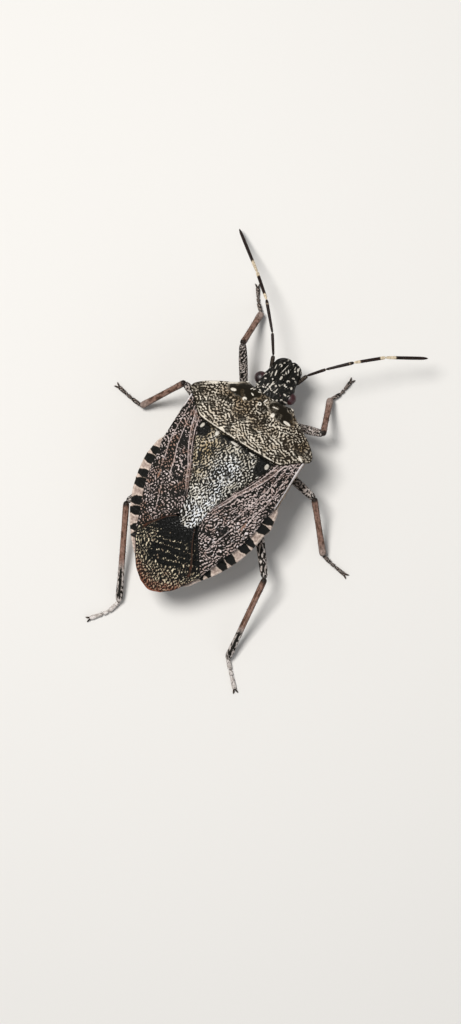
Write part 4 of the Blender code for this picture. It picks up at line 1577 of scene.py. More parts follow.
@dataclass
class Thorax:
    """Underside and flanks of the thorax, below the shield and the wing roots."""

    place: Place
    front: float = -1.98
    rear: float = 3.80
    seams: tuple[float, ...] = (-0.10, 1.85)
    cols: int = 180
    rows: int = 190

    def plain(self, u: Array, v: Array) -> Points:
        """Wrap the grid round the thorax.

        Args:
            u: across, 0 to 1.
            v: along, 0 to 1.

        Returns:
            The points' x, y and z.
        """
        y = self.front + (self.rear - self.front) * v
        angle = 2 * math.pi * u
        half = body_width(y) - 0.10
        x = half * np.sin(angle)
        low = belly(x, y, 0.60)
        high = back(x, y) - 0.32
        mix = smooth(0.15, -0.15, np.cos(angle))
        z = low * (1 - mix) + high * mix
        close = rounded(v, 0.02, 0.02)
        centre = (back(0 * y, y) + keel(y)) / 2
        return x * close, y, centre + (z - centre) * close

    def joints(self, x: Array, y: Array, behind: float = 0.0, width: float = 0.035) -> Array:
        """Return bands this far behind the seams between the three plates of each flank."""
        bow = behind + 0.35 * (np.abs(x) / 3.8) ** 2
        return np.maximum.reduce([bump(y, s + bow, width) for s in self.seams])

    def gland(self, x: Array, y: Array) -> Array:
        """Return the lip of the scent gland."""
        return spot(np.abs(x), y, (2.15, 1.72), (0.40, 0.07), 12)

    def relief(self, x: Array, y: Array, u: Array, v: Array) -> Array:
        """Return the seams, the swell of the plates, the scent gland's lip and the punctures."""
        ends = smooth(0.0, 0.03, v) * smooth(1.0, 0.97, v) * smooth(-0.2, 0.1, np.cos(2 * math.pi * u))
        swell = 0.03 * self.joints(x, y, 0.16, 0.13) - 0.06 * self.joints(x, y)
        return ends * (swell - 0.06 * bump(x, 0.0, 0.20) + 0.06 * self.gland(x, y))

    def marks(self, x: Array, y: Array, u: Array, v: Array) -> Marks:
        """Paint the flanks.

        Args:
            x: millimetres to the left.
            y: millimetres to the rear.
            u: across, 0 to 1.
            v: along, 0 to 1.

        Returns:
            The patterns by name.
        """
        z = self.plain(u, v)[2]
        s = 3.0 * np.arctan2(z - 3.6, x)
        blot = 0.8 * smooth(0.72, 0.86, drift(s, y, 0.42, 83)) * smooth(1.4, 2.4, np.abs(x))
        matt = spot(np.abs(x), y, (2.35, 1.62), (0.75, 0.34), 10)
        lip = self.gland(x, y)
        return {"pit": (0.25 + 0.75 * smooth(0.5, 2.0, np.abs(x))) * (1 - matt),
                "dark": np.maximum(0.75 * self.joints(x, y), blot) * (1 - matt),
                "pale": 0.5 * lip, "warm": np.maximum(0.25 * drift(s, y, 0.8, 85), 0.7 * matt * (1 - lip))}

    def build(self) -> Object:
        """Make the thorax."""
        return close_mesh(shaped_grid("thorax_flanks", self.cols, self.rows, self.place,
                                      raised(self.plain, self.relief), self.marks))


@dataclass
class Head:
    """Flat blunt head with grooved lobes, pale streaks, two ocelli and bulging eyes."""

    place: Place
    tip: float = -4.43
    rear: float = -1.80
    eye_left: Triple = (1.03, -2.65, 3.56)
    eye_right: Triple = (-1.01, -2.50, 3.54)
    eye_half: Triple = (0.37, 0.37, 0.30)
    ocellus: Pair = (0.52, -2.32)
    ocellus_half: Triple = (0.06, 0.06, 0.04)
    cols: int = 170
    rows: int = 150
    eyelets: Ovals = (
        ((-0.45, 3.79), (0.05, 0.065), 30), ((0.49, 3.21), (0.07, 0.05), 20))
    streaks: Ovals = (
        ((-0.12, 3.76), (0.022, 0.34), -8), ((-0.585, 3.13), (0.028, 0.19), 14),
        ((-0.41, 3.30), (0.04, 0.20), 13), ((-0.43, 3.82), (0.10, 0.10), 0),
        ((-0.34, 4.06), (0.07, 0.035), 40), ((0.44, 3.96), (0.05, 0.055), 0),
        ((0.66, 3.90), (0.045, 0.06), 20), ((0.59, 3.56), (0.09, 0.045), 20),
        ((0.34, 4.12), (0.025, 0.12), 10), ((0.01, 3.20), (0.06, 0.13), 0),
        ((0.01, 2.65), (0.065, 0.06), 0), ((-0.57, 2.25), (0.09, 0.05), 20),
        ((0.70, 2.49), (0.10, 0.05), -10), ((0.50, 1.99), (0.055, 0.055), 0),
        ((0.95, 2.16), (0.13, 0.040), 6), ((-0.29, 2.22), (0.024, 0.38), -14),
        ((0.17, 2.42), (0.026, 0.19), -4), ((0.46, 3.24), (0.10, 0.09), 0),
        ((0.40, 2.95), (0.05, 0.08), 30), ((-0.37, 2.90), (0.045, 0.045), 0),
        ((0.80, 3.02), (0.06, 0.09), 20), ((-0.74, 2.72), (0.07, 0.04), 30),
        ((-0.95, 2.20), (0.12, 0.04), -4), ((-0.64, 3.62), (0.022, 0.16), 10))

    def half_shape(self, top: bool) -> Shape:
        """Return the shape of the upper or the lower half.

        Args:
            top: whether it is the upper one.

        Returns:
            The shape.
        """
        def shape(u: Array, v: Array) -> Points:
            """Lay the grid over that half.

            Args:
                u: across, 0 to 1.
                v: along, 0 to 1.

            Returns:
                The points' x, y and z.
            """
            y = self.tip + (self.rear - self.tip) * v ** 1.35
            x = head_width(y) * (2 * u - 1)
            notch = smooth(-3.8, self.tip, y)
            y = y + notch * (0.10 * np.maximum(0.0, 1 - np.abs(x) / 0.12) + 0.12 * np.abs(x) ** 2)
            s = np.abs(2 * u - 1)
            dome = (1 - s ** 2.6) ** 0.8 * rounded(v, 0.05, 0.03)
            if not top:
                return x, y, head_edge(y) - (head_edge(y) - head_keel(y)) * dome
            brow = 0.30 * bump(np.abs(x), 0.92, 0.14) * bump(y, -2.58, 0.38)
            lobe = 0.05 * bump(np.abs(x), 0.52, 0.17) * smooth(-2.9, -3.4, y)
            tylus = 0.06 * bump(x, 0.0, 0.15) * smooth(-2.7, -3.2, y)
            groove = 0.07 * bump(np.abs(x), 0.25, 0.035) * smooth(-2.75, -3.15, y)
            z = head_edge(y) + (head_ridge(y) - head_edge(y)) * dome
            z += (lobe + tylus - groove + brow - 0.034 * self.hollows(x, y)) * dome
            return x, y, z
        return shape

    def hollows(self, x: Array, y: Array) -> Array:
        """Return the hollows between the wrinkles, which run lengthwise in front."""
        front = smooth(-2.9, -3.5, y)
        return (worms(x, y, 0.170, 19, 8.0, 0.35, 0.25) * front
                + worms(x, y, 0.180, 20, 10.0, 0.8, 0.25) * (1 - front))

    def marks(self, x: Array, y: Array, u: Array, v: Array) -> Marks:
        """Paint the head.

        Args:
            x: millimetres to the left.
            y: millimetres to the rear.
            u: across, 0 to 1.
            v: along, 0 to 1.

        Returns:
            The patterns by name.
        """
        r, f = -x, -y
        line = spots(r, f, self.streaks) * (1 - spots(r, f, self.eyelets))
        pit = self.hollows(x, y)
        some = smooth(0.52, 0.74, drift(x, y, 0.19, 91))
        pale = np.maximum(line, smooth(0.75, 0.98, 1 - pit) * (0.10 + 0.80 * some))
        flush = 0.3 * smooth(0.4, 0.8, drift(x, y, 0.5, 93))
        return {"pit": pit * (1 - pale), "dark": (1 - pale) * 0.88, "pale": pale,
                "warm": np.maximum(spot(r, f, (-0.02, 2.99), (0.07, 0.06)), flush)}

    def build(self) -> Object:
        """Make the head.

        Returns:
            The object.
        """
        halves = [shaped_grid(f"head_{name}", self.cols, self.rows, self.place,
                              self.half_shape(top), self.marks)
                  for name, top in (("upper", True), ("lower", False))]
        return close_mesh(join(halves, "head_capsule"))

    def build_eye(self, side: Side) -> Object:
        """Make one eye: a sphere pressed to an oval, cut flat where it sits in the head.

        Args:
            side: the side of the body.

        Returns:
            The object.
        """
        deselect()
        bpy.ops.mesh.primitive_uv_sphere_add(segments=64, ring_count=40, radius=1.0,
                                             rotation=(0.0, math.pi / 2, 0.0))
        obj = bpy.context.object
        bpy.ops.object.transform_apply(location=False, rotation=True, scale=False)
        with editing(obj):
            bpy.ops.mesh.bisect(plane_co=(-0.45 * side.value, 0.0, 0.0), plane_no=(side.value, 0.0, 0.0),
                                use_fill=True, clear_inner=True)
            bpy.ops.mesh.select_all(action="SELECT")
            bpy.ops.transform.resize(value=[h * MM for h in self.eye_half], center_override=(0.0, 0.0, 0.0))
        at = self.eye_left if side is Side.LEFT else self.eye_right
        obj.data.transform(Matrix.Translation(Vector(self.place.world(*at))))
        obj.name = obj.data.name = f"eye_{side.name.lower()}_lens"
        return close_mesh(obj)

    def build_ocelli(self) -> Object:
        """Make the two simple eyes near the rear of the head.

        Returns:
            The object.
        """
        made = []
        for side in Side:
            deselect()
            bpy.ops.mesh.primitive_ico_sphere_add(subdivisions=4, radius=1.0)
            obj = bpy.context.object
            with editing(obj):
                bpy.ops.transform.resize(value=[h * MM for h in self.ocellus_half],
                                         center_override=(0.0, 0.0, 0.0))
            x, y = self.ocellus[0] * side.value, self.ocellus[1]
            dome = (1 - (abs(x) / float(head_width(y))) ** 2.6) ** 0.8
            z = float(head_edge(y)) + (float(head_ridge(y)) - float(head_edge(y))) * dome
            obj.data.transform(Matrix.Translation(Vector(self.place.world(x, y, z))))
            made.append(obj)
        return join(made, "ocelli")


FEELER_RODS = (
    Rod("scape", 0.75, 0.13, Profile((0.0, 0.8), (0.3, 0.95), (0.8, 1.0), (1.0, 0.85)),
        0.12, 0.10, 10, 10),
    Rod("second", 1.35, 0.090, Profile((0.0, 0.75), (0.2, 0.9), (0.9, 1.05), (1.0, 0.9)),
        0.04, 0.04, 12, 10),
    Rod("third", 1.95, 0.092, Profile((0.0, 0.70), (0.15, 0.85), (0.9, 1.12), (1.0, 0.85)),
        0.03, 0.03, 14, 10),
    Rod("fourth", 1.90, 0.102, Profile((0.0, 0.65), (0.15, 0.9), (0.6, 1.0), (0.95, 1.0), (1.0, 0.8)),
        0.03, 0.03, 14, 10),
    Rod("fifth", 3.00, 0.105, Profile((0.0, 0.65), (0.12, 0.9), (0.6, 1.0), (0.88, 0.9), (1.0, 0.55)),
        0.02, 0.10, 16, 10),
)


@dataclass
class Feelers:
    """Pair of five-jointed feelers with pale rings on their last two joints."""

    place: Place

    def rings(self, k: int) -> Paint:
        """Return the painter of joint k.

        Args:
            k: the joint's number.

        Returns:
            The painter.
        """
        def paint(u: Array, v: Array) -> Marks:
            """Paint one joint.

            Args:
                u: place round, -1 to 1.
                v: along, 0 to 1.

            Returns:
                The patterns by name.
            """
            speck = pits(u * 0.3, v * 1.6, (0.07, 0.07), 140 + k, 0.38)
            if k == 0:
                return {"dark": 0.72 + 0.28 * speck, "pale": 0.5 * (1 - speck)}
            pale = (0.5 * smooth(0.965, 0.985, v), 0.7 * bump(v, 0.86, 0.018),
                    np.maximum(smooth(0.23, 0.17, v), smooth(0.80, 0.85, v)),
                    np.maximum(smooth(0.27, 0.21, v), 0.5 * smooth(0.96, 1.0, v)))[k - 1]
            return {"dark": (1 - pale) * (0.70 + 0.3 * speck), "pale": pale, "warm": 0.6 * (1 - pale)}
        return paint

    def build(self, masters: Sequence[Object], side: Side, joints: Sequence[Sequence[float]]) -> Object:
        """Make one feeler.

        Args:
            masters: the models of its joints.
            side: the side of the body.
            joints: where its joints are, in millimetres.

        Returns:
            The object.
        """
        made = []
        for k, (a, b) in enumerate(zip(joints, joints[1:])):
            rod = FEELER_RODS[k]
            made.append(lay(masters[k], rod, self.place, a, b, rod.radius, self.rings(k)))
            made.append(bristles(f"hairs_{k}", self.place, a, b, rod.radius, 46 if k > 1 else 18, 0.06,
                                 200 + k + side.value, 0.7))
        return join(made, f"feeler_{side.name.lower()}")


COXA = Rod("coxa", 0.83, 0.40, Profile((0.0, 0.85), (0.3, 1.0), (0.7, 0.95), (1.0, 0.6)), 0.05, 0.3, 10)
TROCHANTER = Rod("trochanter", 0.40, 0.23, Profile((0.0, 1.0), (1.0, 1.0)), 0.4, 0.4, 8)
THIGH = Rod("thigh", 3.9, 0.27, Profile((0.0, 0.62), (0.12, 0.76), (0.35, 0.95), (0.62, 1.0), (0.88, 0.88),
                                        (1.0, 0.72)), 0.04, 0.05, 24)
SHIN = Rod("shin", 3.9, 0.20, Profile((0.0, 0.92), (0.08, 0.98), (0.3, 0.90), (0.7, 0.95), (0.93, 1.10),
                                      (1.0, 0.90)), 0.03, 0.04, 26, furrow=0.05)
FOOT = Rod("foot", 0.75, 0.12, Profile((0.0, 0.72), (0.5, 0.95), (0.85, 1.05), (1.0, 0.80)), 0.10, 0.10, 9)
PAD = Rod("pad", 0.24, 0.045, Profile((0.0, 1.0), (1.0, 1.0)), 0.4, 0.5, 6, 8, 1)
BEAK_ROD = Rod("beak_joint", 1.5, 0.16, Profile((0.0, 0.95), (0.5, 1.0), (1.0, 0.85)), 0.06, 0.06, 12)


@dataclass
class Claw:
    """Hooked claw: a disc spun through a quarter turn and drawn out to a point."""

    reach: float = 0.26
    radius: float = 0.048
    sweep: float = 96.0
    steps: int = 9
    taper: float = 0.86

    def model(self) -> Object:
        """Spin the disc and taper it ring by ring.

        Returns:
            The object.
        """
        deselect()
        bpy.ops.mesh.primitive_circle_add(vertices=10, radius=self.radius * MM, fill_type="NGON",
                                          location=(self.reach * MM, 0.0, 0.0))
        obj = bpy.context.object
        bpy.ops.object.transform_apply(location=True, rotation=False, scale=False)
        with editing(obj):
            bpy.ops.mesh.spin(steps=self.steps, angle=math.radians(self.sweep), center=(0.0, 0.0, 0.0),
                              axis=(0.0, -1.0, 0.0))
            for k in range(1, self.steps + 1):
                angle = math.radians(self.sweep) * k / self.steps
                for sign in (1, -1):
                    middle = Vector((math.cos(angle), 0.0, sign * math.sin(angle))) * self.reach * MM
                    near = pick(obj, lambda co, m=middle: (co - m).length < self.radius * 1.05 * MM
                                and abs(co.normalized().cross(m.normalized()).y) < 0.02)
                    if near:
                        size = 1 - self.taper * (k / self.steps) ** 1.3
                        bpy.ops.transform.resize(value=(size, size, size), center_override=middle)
        hook = points_of(obj)
        hook = np.stack([np.abs(hook[:, 2]), hook[:, 1], hook[:, 0]], axis=1)
        obj.data.vertices.foreach_set("co", hook.ravel())
        obj.data.update()
        obj.name = "claw_model"
        return close_mesh(obj)


def bristles(name: str, place: Place, a: Sequence[float], b: Sequence[float], radius: float,
             count: int, length: float, seed: int, tone: float) -> Object:
    """Stand short hairs along a limb, leaning towards its end.

    Args:
        name: name of the object.
        place: where the bug's frame lies.
        a: where the limb starts, in millimetres.
        b: where it ends, in millimetres.
        radius: the limb's radius, in millimetres.
        count: how many hairs.
        length: a hair's length, in millimetres.
        seed: number that fixes their places.
        tone: how dark they are.

    Returns:
        One object of thin three-sided spikes.
    """
    rng = np.random.default_rng(seed)
    start, end = np.array(a, float), np.array(b, float)
    run = unit(end - start)
    side = unit(np.cross(run, np.array([0.0, 0.0, 1.0])))
    rise = np.cross(side, run)
    deselect()
    bpy.ops.mesh.primitive_cone_add(vertices=3, radius1=1.0, radius2=0.0, depth=1.0,
                                    location=(0.0, 0.0, 0.5))
    master = bpy.context.object
    bpy.ops.object.transform_apply(location=True, rotation=False, scale=False)
    cone = points_of(master)
    faces = [tuple(p.vertices) for p in master.data.polygons]
    verts, all_faces = [], []
    for _ in range(count):
        t, angle = rng.uniform(0.04, 0.96), rng.uniform(0, 2 * math.pi)
        size = length * rng.uniform(0.7, 1.2)
        out = side * math.sin(angle) + rise * math.cos(angle)
        lean = unit(out * 0.55 + run * 0.85)
        p, q = np.cross(lean, out), np.cross(lean, np.cross(lean, out))
        root = start + (end - start) * t + out * radius * 0.88
        hair = root + (cone[:, :1] * p + cone[:, 1:2] * q) * HAIR_HALF + cone[:, 2:] * lean * size
        hair[:, 2] = np.maximum(hair[:, 2], 0.01)
        all_faces += [tuple(i + len(verts) * len(cone) for i in f) for f in faces]
        verts.append(hair)
    points = np.concatenate(verts)
    mesh = bpy.data.meshes.new(name)
    mesh.from_pydata([tuple(p) for p in place.world(*points.T)], [], all_faces)
    clear([master])
    obj = bpy.data.objects.new(name, mesh)
    bpy.context.scene.collection.objects.link(obj)
    with editing(obj):
        face_outward()
    set_marks(obj, {"dark": np.full(len(points), tone)})
    return obj


@dataclass
class Leg:
    """One leg: hip, thigh, shin, three-jointed foot and, apart, its claws."""

    place: Place
    name: str
    hip: Pair
    knee: Triple
    ankle: Triple
    arch: Pair
    toe: Pair
    seed: int
    hind: bool = False
    hip_depth: float = 0.15
    hip_reach: float = 0.68
    heel_height: float = 0.34

    def frame(self) -> dict[str, Array]:
        """Return the joints' places.

        Returns:
            The places by name.
        """
        x, y = self.hip
        d = 0.05

        def at(a: float, b: float) -> float:
            """Return the underside's height."""
            return float(belly(np.array(a), np.array(b), 0.9))

        slope = (at(x + d, y) - at(x - d, y)) / (2 * d), (at(x, y + d) - at(x, y - d)) / (2 * d)
        out = unit(np.array([*slope, -1.0]))
        socket = np.array([x, y, at(x, y)])
        sole = 0.135 if self.hind else 0.12
        return {"socket": socket - out * self.hip_depth, "hinge": socket + out * self.hip_reach,
                "knee": np.array(self.knee), "ankle": np.array(self.ankle),
                "heel": np.array([*self.ankle[:2], self.heel_height]),
                "arch": np.array([*self.arch, sole + 0.005]), "toe": np.array([*self.toe, sole]),
                "sole": np.array(sole)}

    def mottle(self, base: float, dense: float, stretch: float, seed: int) -> Paint:
        """Return a painter of pale ground with black flecks.

        Args:
            base: how pale the ground is.
            dense: how much of it the flecks cover, about -1 to 1.
            stretch: the joint's length over the size of a fleck.
            seed: number that fixes the flecks.

        Returns:
            The painter.
        """
        def paint(u: Array, v: Array) -> Marks:
            """Paint one joint of the leg.

            Args:
                u: place round, -1 to 1.
                v: along, 0 to 1.

            Returns:
                The patterns by name.
            """
            fleck = worms(u * 0.75, v * stretch, 0.165, seed, 0.0, 1.0, dense)
            knees = 0.7 * smooth(0.94, 1.0, v) * (dense > -1.0)
            glint = smooth(0.5, 0.8, drift(u * 0.75, v * stretch, 0.12, seed + 3))
            return {"pit": fleck, "pale": base + 0.4 * glint, "dark": knees, "warm": 0.15 * (1 - fleck)}
        return paint

    def shin_marks(self, u: Array, v: Array) -> Marks:
        """Paint the brown shin, dark at its ends and along its sides, the sides partly with painted shade.

        Args:
            u: place round, -1 to 1.
            v: along, 0 to 1.

        Returns:
            The patterns by name.
        """
        # The dark sides are partly the shin's own dark edges and partly painted shade, where the round sides
        # turn away from the light.
        flank = smooth(0.16, 0.46, np.abs(u))
        ends = np.maximum(smooth(0.09, 0.02, v), smooth(0.93, 0.98, v) * (not self.hind))
        lower = smooth(0.55, 0.72, v) if self.hind else 0.3 * smooth(0.7, 0.9, v)
        wave = 0.10 * (drift(u * 0.6, v * 3.9, 0.35, self.seed + 11) - 0.5)
        stripe = 0.95 * smooth(0.96, 0.91, v) * smooth(0.21, 0.11, np.abs(u + wave))
        fleck = np.maximum(stripe, worms(u * 0.6, v * 3.9, 0.16, self.seed + 7, 0.0, 1.0, -0.45))
        streak = smooth(0.45, 0.75, drift(u * 2.0, v * 4.0, 0.28, self.seed + 9))
        return {"pit": np.maximum(fleck * lower, 0.55 * streak * (1 - lower)),
                "dark": np.maximum(0.8 * ends, 0.66 * flank * (1 - lower)),
                "warm": (1 - lower) * (0.70 + 0.30 * streak), "pale": 0.60 * lower + 0.06}

    def build(self, masters: dict[str, Object]) -> Object:
        """Make the leg.

        Args:
            masters: the models of its joints.

        Returns:
            The object.
        """
        j = self.frame()
        sole = float(j["sole"])
        bead = j["hinge"] + (j["knee"] - j["hinge"]) * 0.09
        base = 0.80 if self.hind else 0.62
        foot = self.mottle(*((1.0, -1.8) if self.hind else (0.10, 0.25)), 1.0, self.seed + 5)
        run, down = unit(j["arch"] - j["heel"]), unit(j["ankle"] - j["knee"])
        step = [j["heel"] - run * 0.17, j["heel"] + (j["arch"] - j["heel"]) * 0.97,
                j["arch"] + (j["toe"] - j["arch"]) * 0.27, j["toe"]]
        parts = [(COXA, j["socket"], j["hinge"], 0.40, self.mottle(0.30, -1.0, 0.8, self.seed)),
                 (TROCHANTER, j["hinge"] + (j["hinge"] - bead) * 0.3, bead, 0.23,
                  self.mottle(0.35, -0.7, 0.5, self.seed + 1)),
                 (THIGH, j["hinge"], j["knee"], 0.27, self.mottle(base * 0.8, -0.05, 3.9, self.seed + 2)),
                 (SHIN, j["knee"] - down * 0.06, j["ankle"] + down * 0.06, 0.20, self.shin_marks)]
        parts += [(FOOT, a, b, sole * part, foot) for a, b, part in zip(step, step[1:], (1.0, 0.9, 0.98))]
        made = [lay(masters[rod.name], rod, self.place, a, b, r, marks) for rod, a, b, r, marks in parts]
        hairs = [(j["knee"], j["ankle"], 0.19, 130, 0.18), (j["heel"], j["arch"], sole * 0.9, 40, 0.12),
                 (j["arch"], j["toe"], sole * 0.9, 44, 0.12), (j["hinge"], j["knee"], 0.24, 50, 0.10)]
        for k, (a, b, r, count, length) in enumerate(hairs):
            made.append(bristles(f"hairs_{k}", self.place, a, b, r, count, length,
                                 self.seed + 20 + k, 0.45))
        return join(made, f"{self.name}_limb")

    def build_claws(self, masters: dict[str, Object]) -> Object:
        """Make the two hooked claws and the pads between them.

        Args:
            masters: the models of its joints.

        Returns:
            The object.
        """
        j = self.frame()
        ahead = unit(j["toe"] - j["arch"])
        across = unit(np.cross(ahead, np.array([0.0, 0.0, 1.0])))
        made = []
        for turn in (-1, 1):
            lean = math.radians(24.0 * turn)
            out = ahead * math.cos(lean) + across * math.sin(lean)
            root = j["toe"] + across * turn * 0.045 - ahead * 0.03
            claw = copy_of(masters["claw"])
            wide = np.cross(np.array([0.0, 0.0, 1.0]), out)
            points = points_of(claw) @ np.array([(*out[:2], 0.0), wide, (0.0, 0.0, 1.0)])
            points += self.place.world(*(root + np.array([0, 0, -0.215])))
            points[:, 2] = np.maximum(points[:, 2], 0.012 * MM)
            claw.data.vertices.foreach_set("co", points.ravel())
            claw.data.update()
            set_marks(claw, {"dark": np.full(len(points), 0.55)})
            with editing(claw):
                bpy.ops.mesh.remove_doubles(threshold=MERGE)
            made.append(claw)
            made.append(lay(masters["pad"], PAD, self.place, root + [0, 0, -0.03],
                            root + ahead * 0.20 + across * turn * 0.05 + [0, 0, -0.05], 0.042,
                            lambda u, v: {"pale": 0.3 + 0 * v}))
        return join(made, f"{self.name}_claws")


@dataclass
class Beak:
    """Jointed beak folded back under the body."""

    place: Place
    lines: tuple[float, ...] = (-3.90, -2.75, -0.9, 0.9, 2.35)
    radii: tuple[float, ...] = (0.20, 0.17, 0.14, 0.11)
    throat: float = -2.24
    drop: float = 0.42

    def height(self, y: float) -> float:
        """Return the axis's height at a place along the body."""
        chin = float(head_keel(min(y, self.throat)))
        return (chin if y < self.throat else min(float(keel(y)), chin)) - self.drop

    def build(self) -> Object:
        """Make the beak.

        Returns:
            The object.
        """
        master = BEAK_ROD.model()
        made = []
        for k, (a, b) in enumerate(zip(self.lines, self.lines[1:])):
            tone = 0.9 if k == 3 else 0.1

            def paint(u: Array, v: Array, tone: float = tone) -> Marks:
                """Paint one joint, with the dark line of its groove below."""
                groove = 0.8 * smooth(0.88, 1.0, np.abs(u))
                return {"dark": np.maximum(tone * smooth(0.2, 0.9, v), groove), "pale": 0.2 + 0 * v}

            start = self.height(a) if k else float(head_keel(a)) - 0.02
            made.append(lay(master, BEAK_ROD, self.place, (0.0, a, start), (0.0, b, self.height(b)),
                            self.radii[k], paint))
        clear([master])
        return join(made, "beak_joints")


# Each leg's name, hip, knee, ankle, arch and toe
LEGS = (
    ("leg_front_left", (1.20, -0.98), (3.05, -3.81, 2.85),
     (3.36, -6.00, 0.42), (3.90, -6.50), (4.42, -7.26)),
    ("leg_front_right", (-1.20, -0.98), (-3.64, -1.84, 2.85),
     (-2.75, -3.88, 0.42), (-3.09, -4.55), (-3.19, -5.45)),
    ("leg_middle_left", (1.40, 0.90), (4.62, -0.10, 3.20),
     (6.41, 2.27, 0.42), (7.20, 2.21), (8.25, 2.03)),
    ("leg_middle_right", (-1.40, 0.90), (-5.19, 1.55, 2.60),
     (-7.24, 3.98, 0.42), (-7.85, 4.13), (-8.90, 4.27)),
    ("leg_hind_left", (1.50, 2.85), (3.90, 7.46, 2.20),
     (1.37, 12.64, 0.42), (1.60, 13.50), (2.34, 14.42)),
    ("leg_hind_right", (-1.50, 2.85), (-5.26, 6.93, 2.90),
     (-5.76, 12.00, 0.42), (-6.25, 12.52), (-7.08, 13.34)),
)

# Each feeler's joints from the head outward
FEELERS = {
    Side.LEFT: ((0.84, -3.36, 3.12), (1.12, -4.10, 3.40), (1.84, -5.15, 3.60), (3.18, -6.60, 3.30),
                (4.60, -7.74, 2.50), (7.12, -9.54, 0.50)),
    Side.RIGHT: ((-0.84, -3.36, 3.12), (-1.14, -4.14, 3.42), (-1.88, -4.98, 3.74), (-3.04, -6.12, 4.00),
                 (-4.38, -7.34, 3.70), (-6.40, -8.64, 3.00)),
}


# Studio

@dataclass
class Studio:
    """Pale floor, soft light and the camera of the photograph's view."""

    place: Place
    distance: float = 120.5
    tilt: float = 5.0
    aim: Triple = (-1.70, 4.74, 4.5)
    image_height: float = 57.66
    up: Pair = (0.5368, -0.8437)
    sensor: float = 36.0
    floor_size: float = 1200.0
    floor_drop: float = 0.02
    lamp_target: Triple = (0.0, 3.0, 3.0)
    air: Triple = (0.95, 0.97, 1.0)
    air_strength: float = 0.26

    def floor(self) -> None:
        """Lay the floor."""
        deselect()
        bpy.ops.mesh.primitive_plane_add(size=self.floor_size * MM)
        obj = bpy.context.object
        obj.name = obj.data.name = "studio_floor"
        with editing(obj):
            bpy.ops.mesh.subdivide(number_cuts=3)
        obj.data.transform(Matrix.Translation((0.0, 0.0, -self.floor_drop * MM)))
        obj.data.materials.append(Floor().make())

    def camera(self) -> None:
        """Stand the camera where the photograph was taken from."""
        target = Vector(self.place.world(*self.aim))
        lean = math.radians(self.tilt)
        behind = Vector((-math.sin(lean), 0.0, math.cos(lean)))
        up = Vector((*self.up, 0.0))
        up = (up - behind * up.dot(behind)).normalized()
        data = bpy.data.cameras.new("camera")
        obj = bpy.data.objects.new("camera", data)
        bpy.context.scene.collection.objects.link(obj)
        turn = Matrix((up.cross(behind), up, behind)).transposed().to_4x4()
        turn.translation = target + behind * self.distance * MM
        obj.matrix_world = turn
        data.sensor_fit = "AUTO"
        data.sensor_width = self.sensor
        data.lens = self.sensor * self.distance / self.image_height
        data.clip_start, data.clip_end = 0.005, 5.0
        bpy.context.scene.camera = obj

    def lamp(self, name: str, at: Triple, size: float, power: float,
             colour: Triple) -> None:
        """Hang a soft square lamp, in millimetres, that looks at the bug.

        Args:
            name: its name.
            at: its place, in millimetres.
            size: its side, in millimetres.
            power: its power, in watts.
            colour: its colour.
        """
        data = bpy.data.lights.new(name, "AREA")
        data.shape = "SQUARE"
        data.size = size * MM
        data.energy = power
        data.color = colour
        obj = bpy.data.objects.new(name, data)
        bpy.context.scene.collection.objects.link(obj)
        start = Vector(self.place.world(*at))
        target = Vector(self.place.world(*self.lamp_target))
        aim = (target - start).to_track_quat("-Z", "Y").to_matrix().to_4x4()
        obj.matrix_world = Matrix.Translation(start) @ aim

    def lights(self) -> None:
        """Light the studio: one key near the camera, one broad fill and an even surround."""
        self.lamp("key", (46.0, -6.0, 165.0), 50.0, 0.30, (1.0, 0.985, 0.96))
        self.lamp("fill", (-170.0, 90.0, 120.0), 200.0, 0.08, (0.93, 0.96, 1.0))
        world = bpy.data.worlds.new("studio_air")
        bpy.context.scene.world = world
        world.use_nodes = True
        shade = world.node_tree.nodes["Background"]
        shade.inputs["Color"].default_value = (*self.air, 1.0)
        shade.inputs["Strength"].default_value = self.air_strength
        bpy.context.scene.view_settings.view_transform = "Standard"


def settle(obj: Object, finish: Material, slot: str, *nodes: str) -> None:
    """Finish and smooth a piece, fix it to the body and hide the solids that it stands for.

    Args:
        obj: the piece.
        finish: its material.
        slot: the name of its material slot, which is only logged.
        nodes: the solids that it replaces.
    """
    obj.data.materials.append(finish)
    choose(obj)
    bpy.ops.object.shade_smooth_by_angle(angle=math.radians(SHARP_ANGLE))
    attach(obj, "root")
    if nodes:
        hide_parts(*nodes)
    log.info("%s: %d faces, slot %s", obj.name, len(obj.data.polygons), slot)


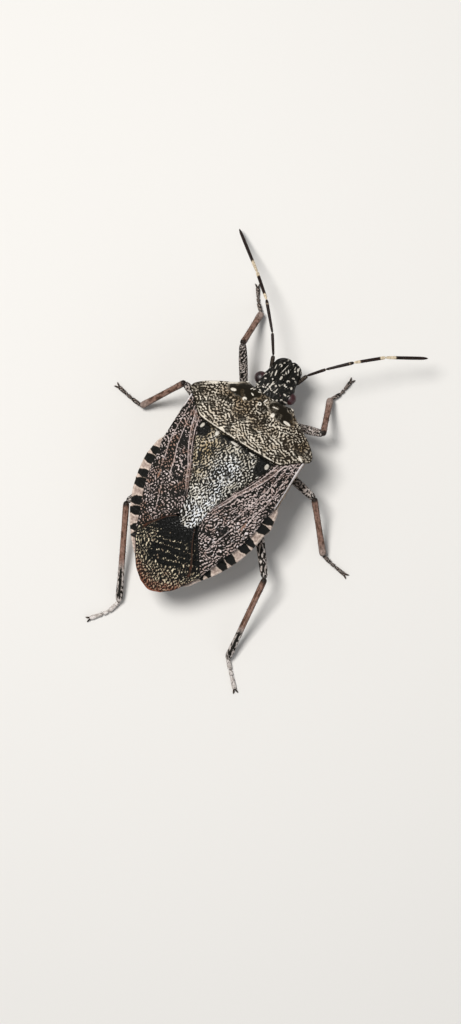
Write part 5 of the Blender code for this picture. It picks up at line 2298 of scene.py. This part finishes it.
def main() -> None:
    """Build the bug piece by piece, then the studio."""
    logging.basicConfig(level=logging.INFO, format="%(message)s")
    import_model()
    place = Place.from_solids()

    shield = Shell("shield_shell", (0.90, 0.83, 0.70), (0.54, 0.455, 0.34), pit=(0.018, 0.012, 0.006),
                   dark=(0.012, 0.009, 0.0045), pale=(0.94, 0.89, 0.79), warm=(0.30, 0.20, 0.10),
                   dapple=0.48).make()
    # The scutellum's bluish-white pale colour is the colour of its painted highlight; its callous spots take
    # 0.30 of it.
    plate = Shell("scutellum_shell", (0.80, 0.76, 0.66), (0.52, 0.47, 0.37), pale=(0.88, 0.92, 0.96),
                  warm=(0.44, 0.33, 0.17), dapple=0.48).make()
    leather = Shell("wing_leather", (0.80, 0.68, 0.65), (0.47, 0.365, 0.34), pale=(0.93, 0.88, 0.89),
                    warm=(0.33, 0.18, 0.12), dapple=0.48).make()
    film = Shell("wing_film", (0.09, 0.075, 0.05), (0.05, 0.040, 0.03), dark=(0.003, 0.003, 0.0025),
                 pale=(0.90, 0.80, 0.58), warm=(0.23, 0.066, 0.034), gloss=0.26, coat=0.10).make()
    band = Shell("banded_margin", (0.46, 0.36, 0.25), (0.36, 0.27, 0.18), pale=(0.82, 0.68, 0.60),
                 warm=(0.33, 0.235, 0.22), gloss=0.42, dots=6.5).make()
    capsule = Shell("head_shell", (0.12, 0.10, 0.07), (0.05, 0.04, 0.03), pale=(0.80, 0.76, 0.68)).make()
    limb = Shell("leg_shell", (0.38, 0.30, 0.26), (0.24, 0.19, 0.16), pale=(0.74, 0.69, 0.66),
                 warm=(0.25, 0.105, 0.060), gloss=0.40).make()
    horn = Shell("feeler_shell", (0.10, 0.07, 0.05), (0.05, 0.035, 0.025), dark=(0.010, 0.006, 0.005),
                 pale=(0.78, 0.66, 0.48), warm=(0.12, 0.045, 0.022), gloss=0.42).make()
    claw = Shell("claw_shell", (0.12, 0.06, 0.035), (0.05, 0.03, 0.02), gloss=0.3).make()
    lens = Eye().make()

    settle(Pronotum(place).build(), shield, "back_shell", "pronotum")
    settle(Scutellum(place).build(), plate, "back_shell", "scutellum")
    for side in Side:
        word = side.name.lower()
        settle(Corium(place, side).build(), leather, "wing_leather", f"forewing_{word}")
        settle(Membrane(place, side).build(), film, "wing_membrane", f"membrane_{word}")
    settle(Abdomen(place).build(), band, "belly_shell", "abdomen")
    settle(Thorax(place).build(), band, "belly_shell", "thorax")
    head = Head(place)
    settle(head.build(), capsule, "head_shell", "head")
    settle(head.build_ocelli(), lens, "eye")
    rods = [rod.model() for rod in FEELER_RODS]
    for side in Side:
        word = side.name.lower()
        settle(head.build_eye(side), lens, "eye", f"eye_{word}")
        settle(Feelers(place).build(rods, side, FEELERS[side]), horn, "feeler_shell", f"antenna_{word}")
    settle(Beak(place).build(), limb, "leg_shell", "beak")
    masters = {rod.name: rod.model() for rod in (COXA, TROCHANTER, THIGH, SHIN, FOOT, PAD)}
    masters["claw"] = Claw().model()
    for k, (name, hip, knee, ankle, arch, toe) in enumerate(LEGS):
        leg = Leg(place, name, hip, knee, ankle, arch, toe, 300 + 40 * k, "hind" in name)
        settle(leg.build(masters), limb, "leg_shell", name)
        settle(leg.build_claws(masters), claw, "leg_shell")
    clear([*rods, *masters.values()])

    studio = Studio(place)
    studio.floor()
    studio.camera()
    studio.lights()


if __name__ == "__main__":
    main()
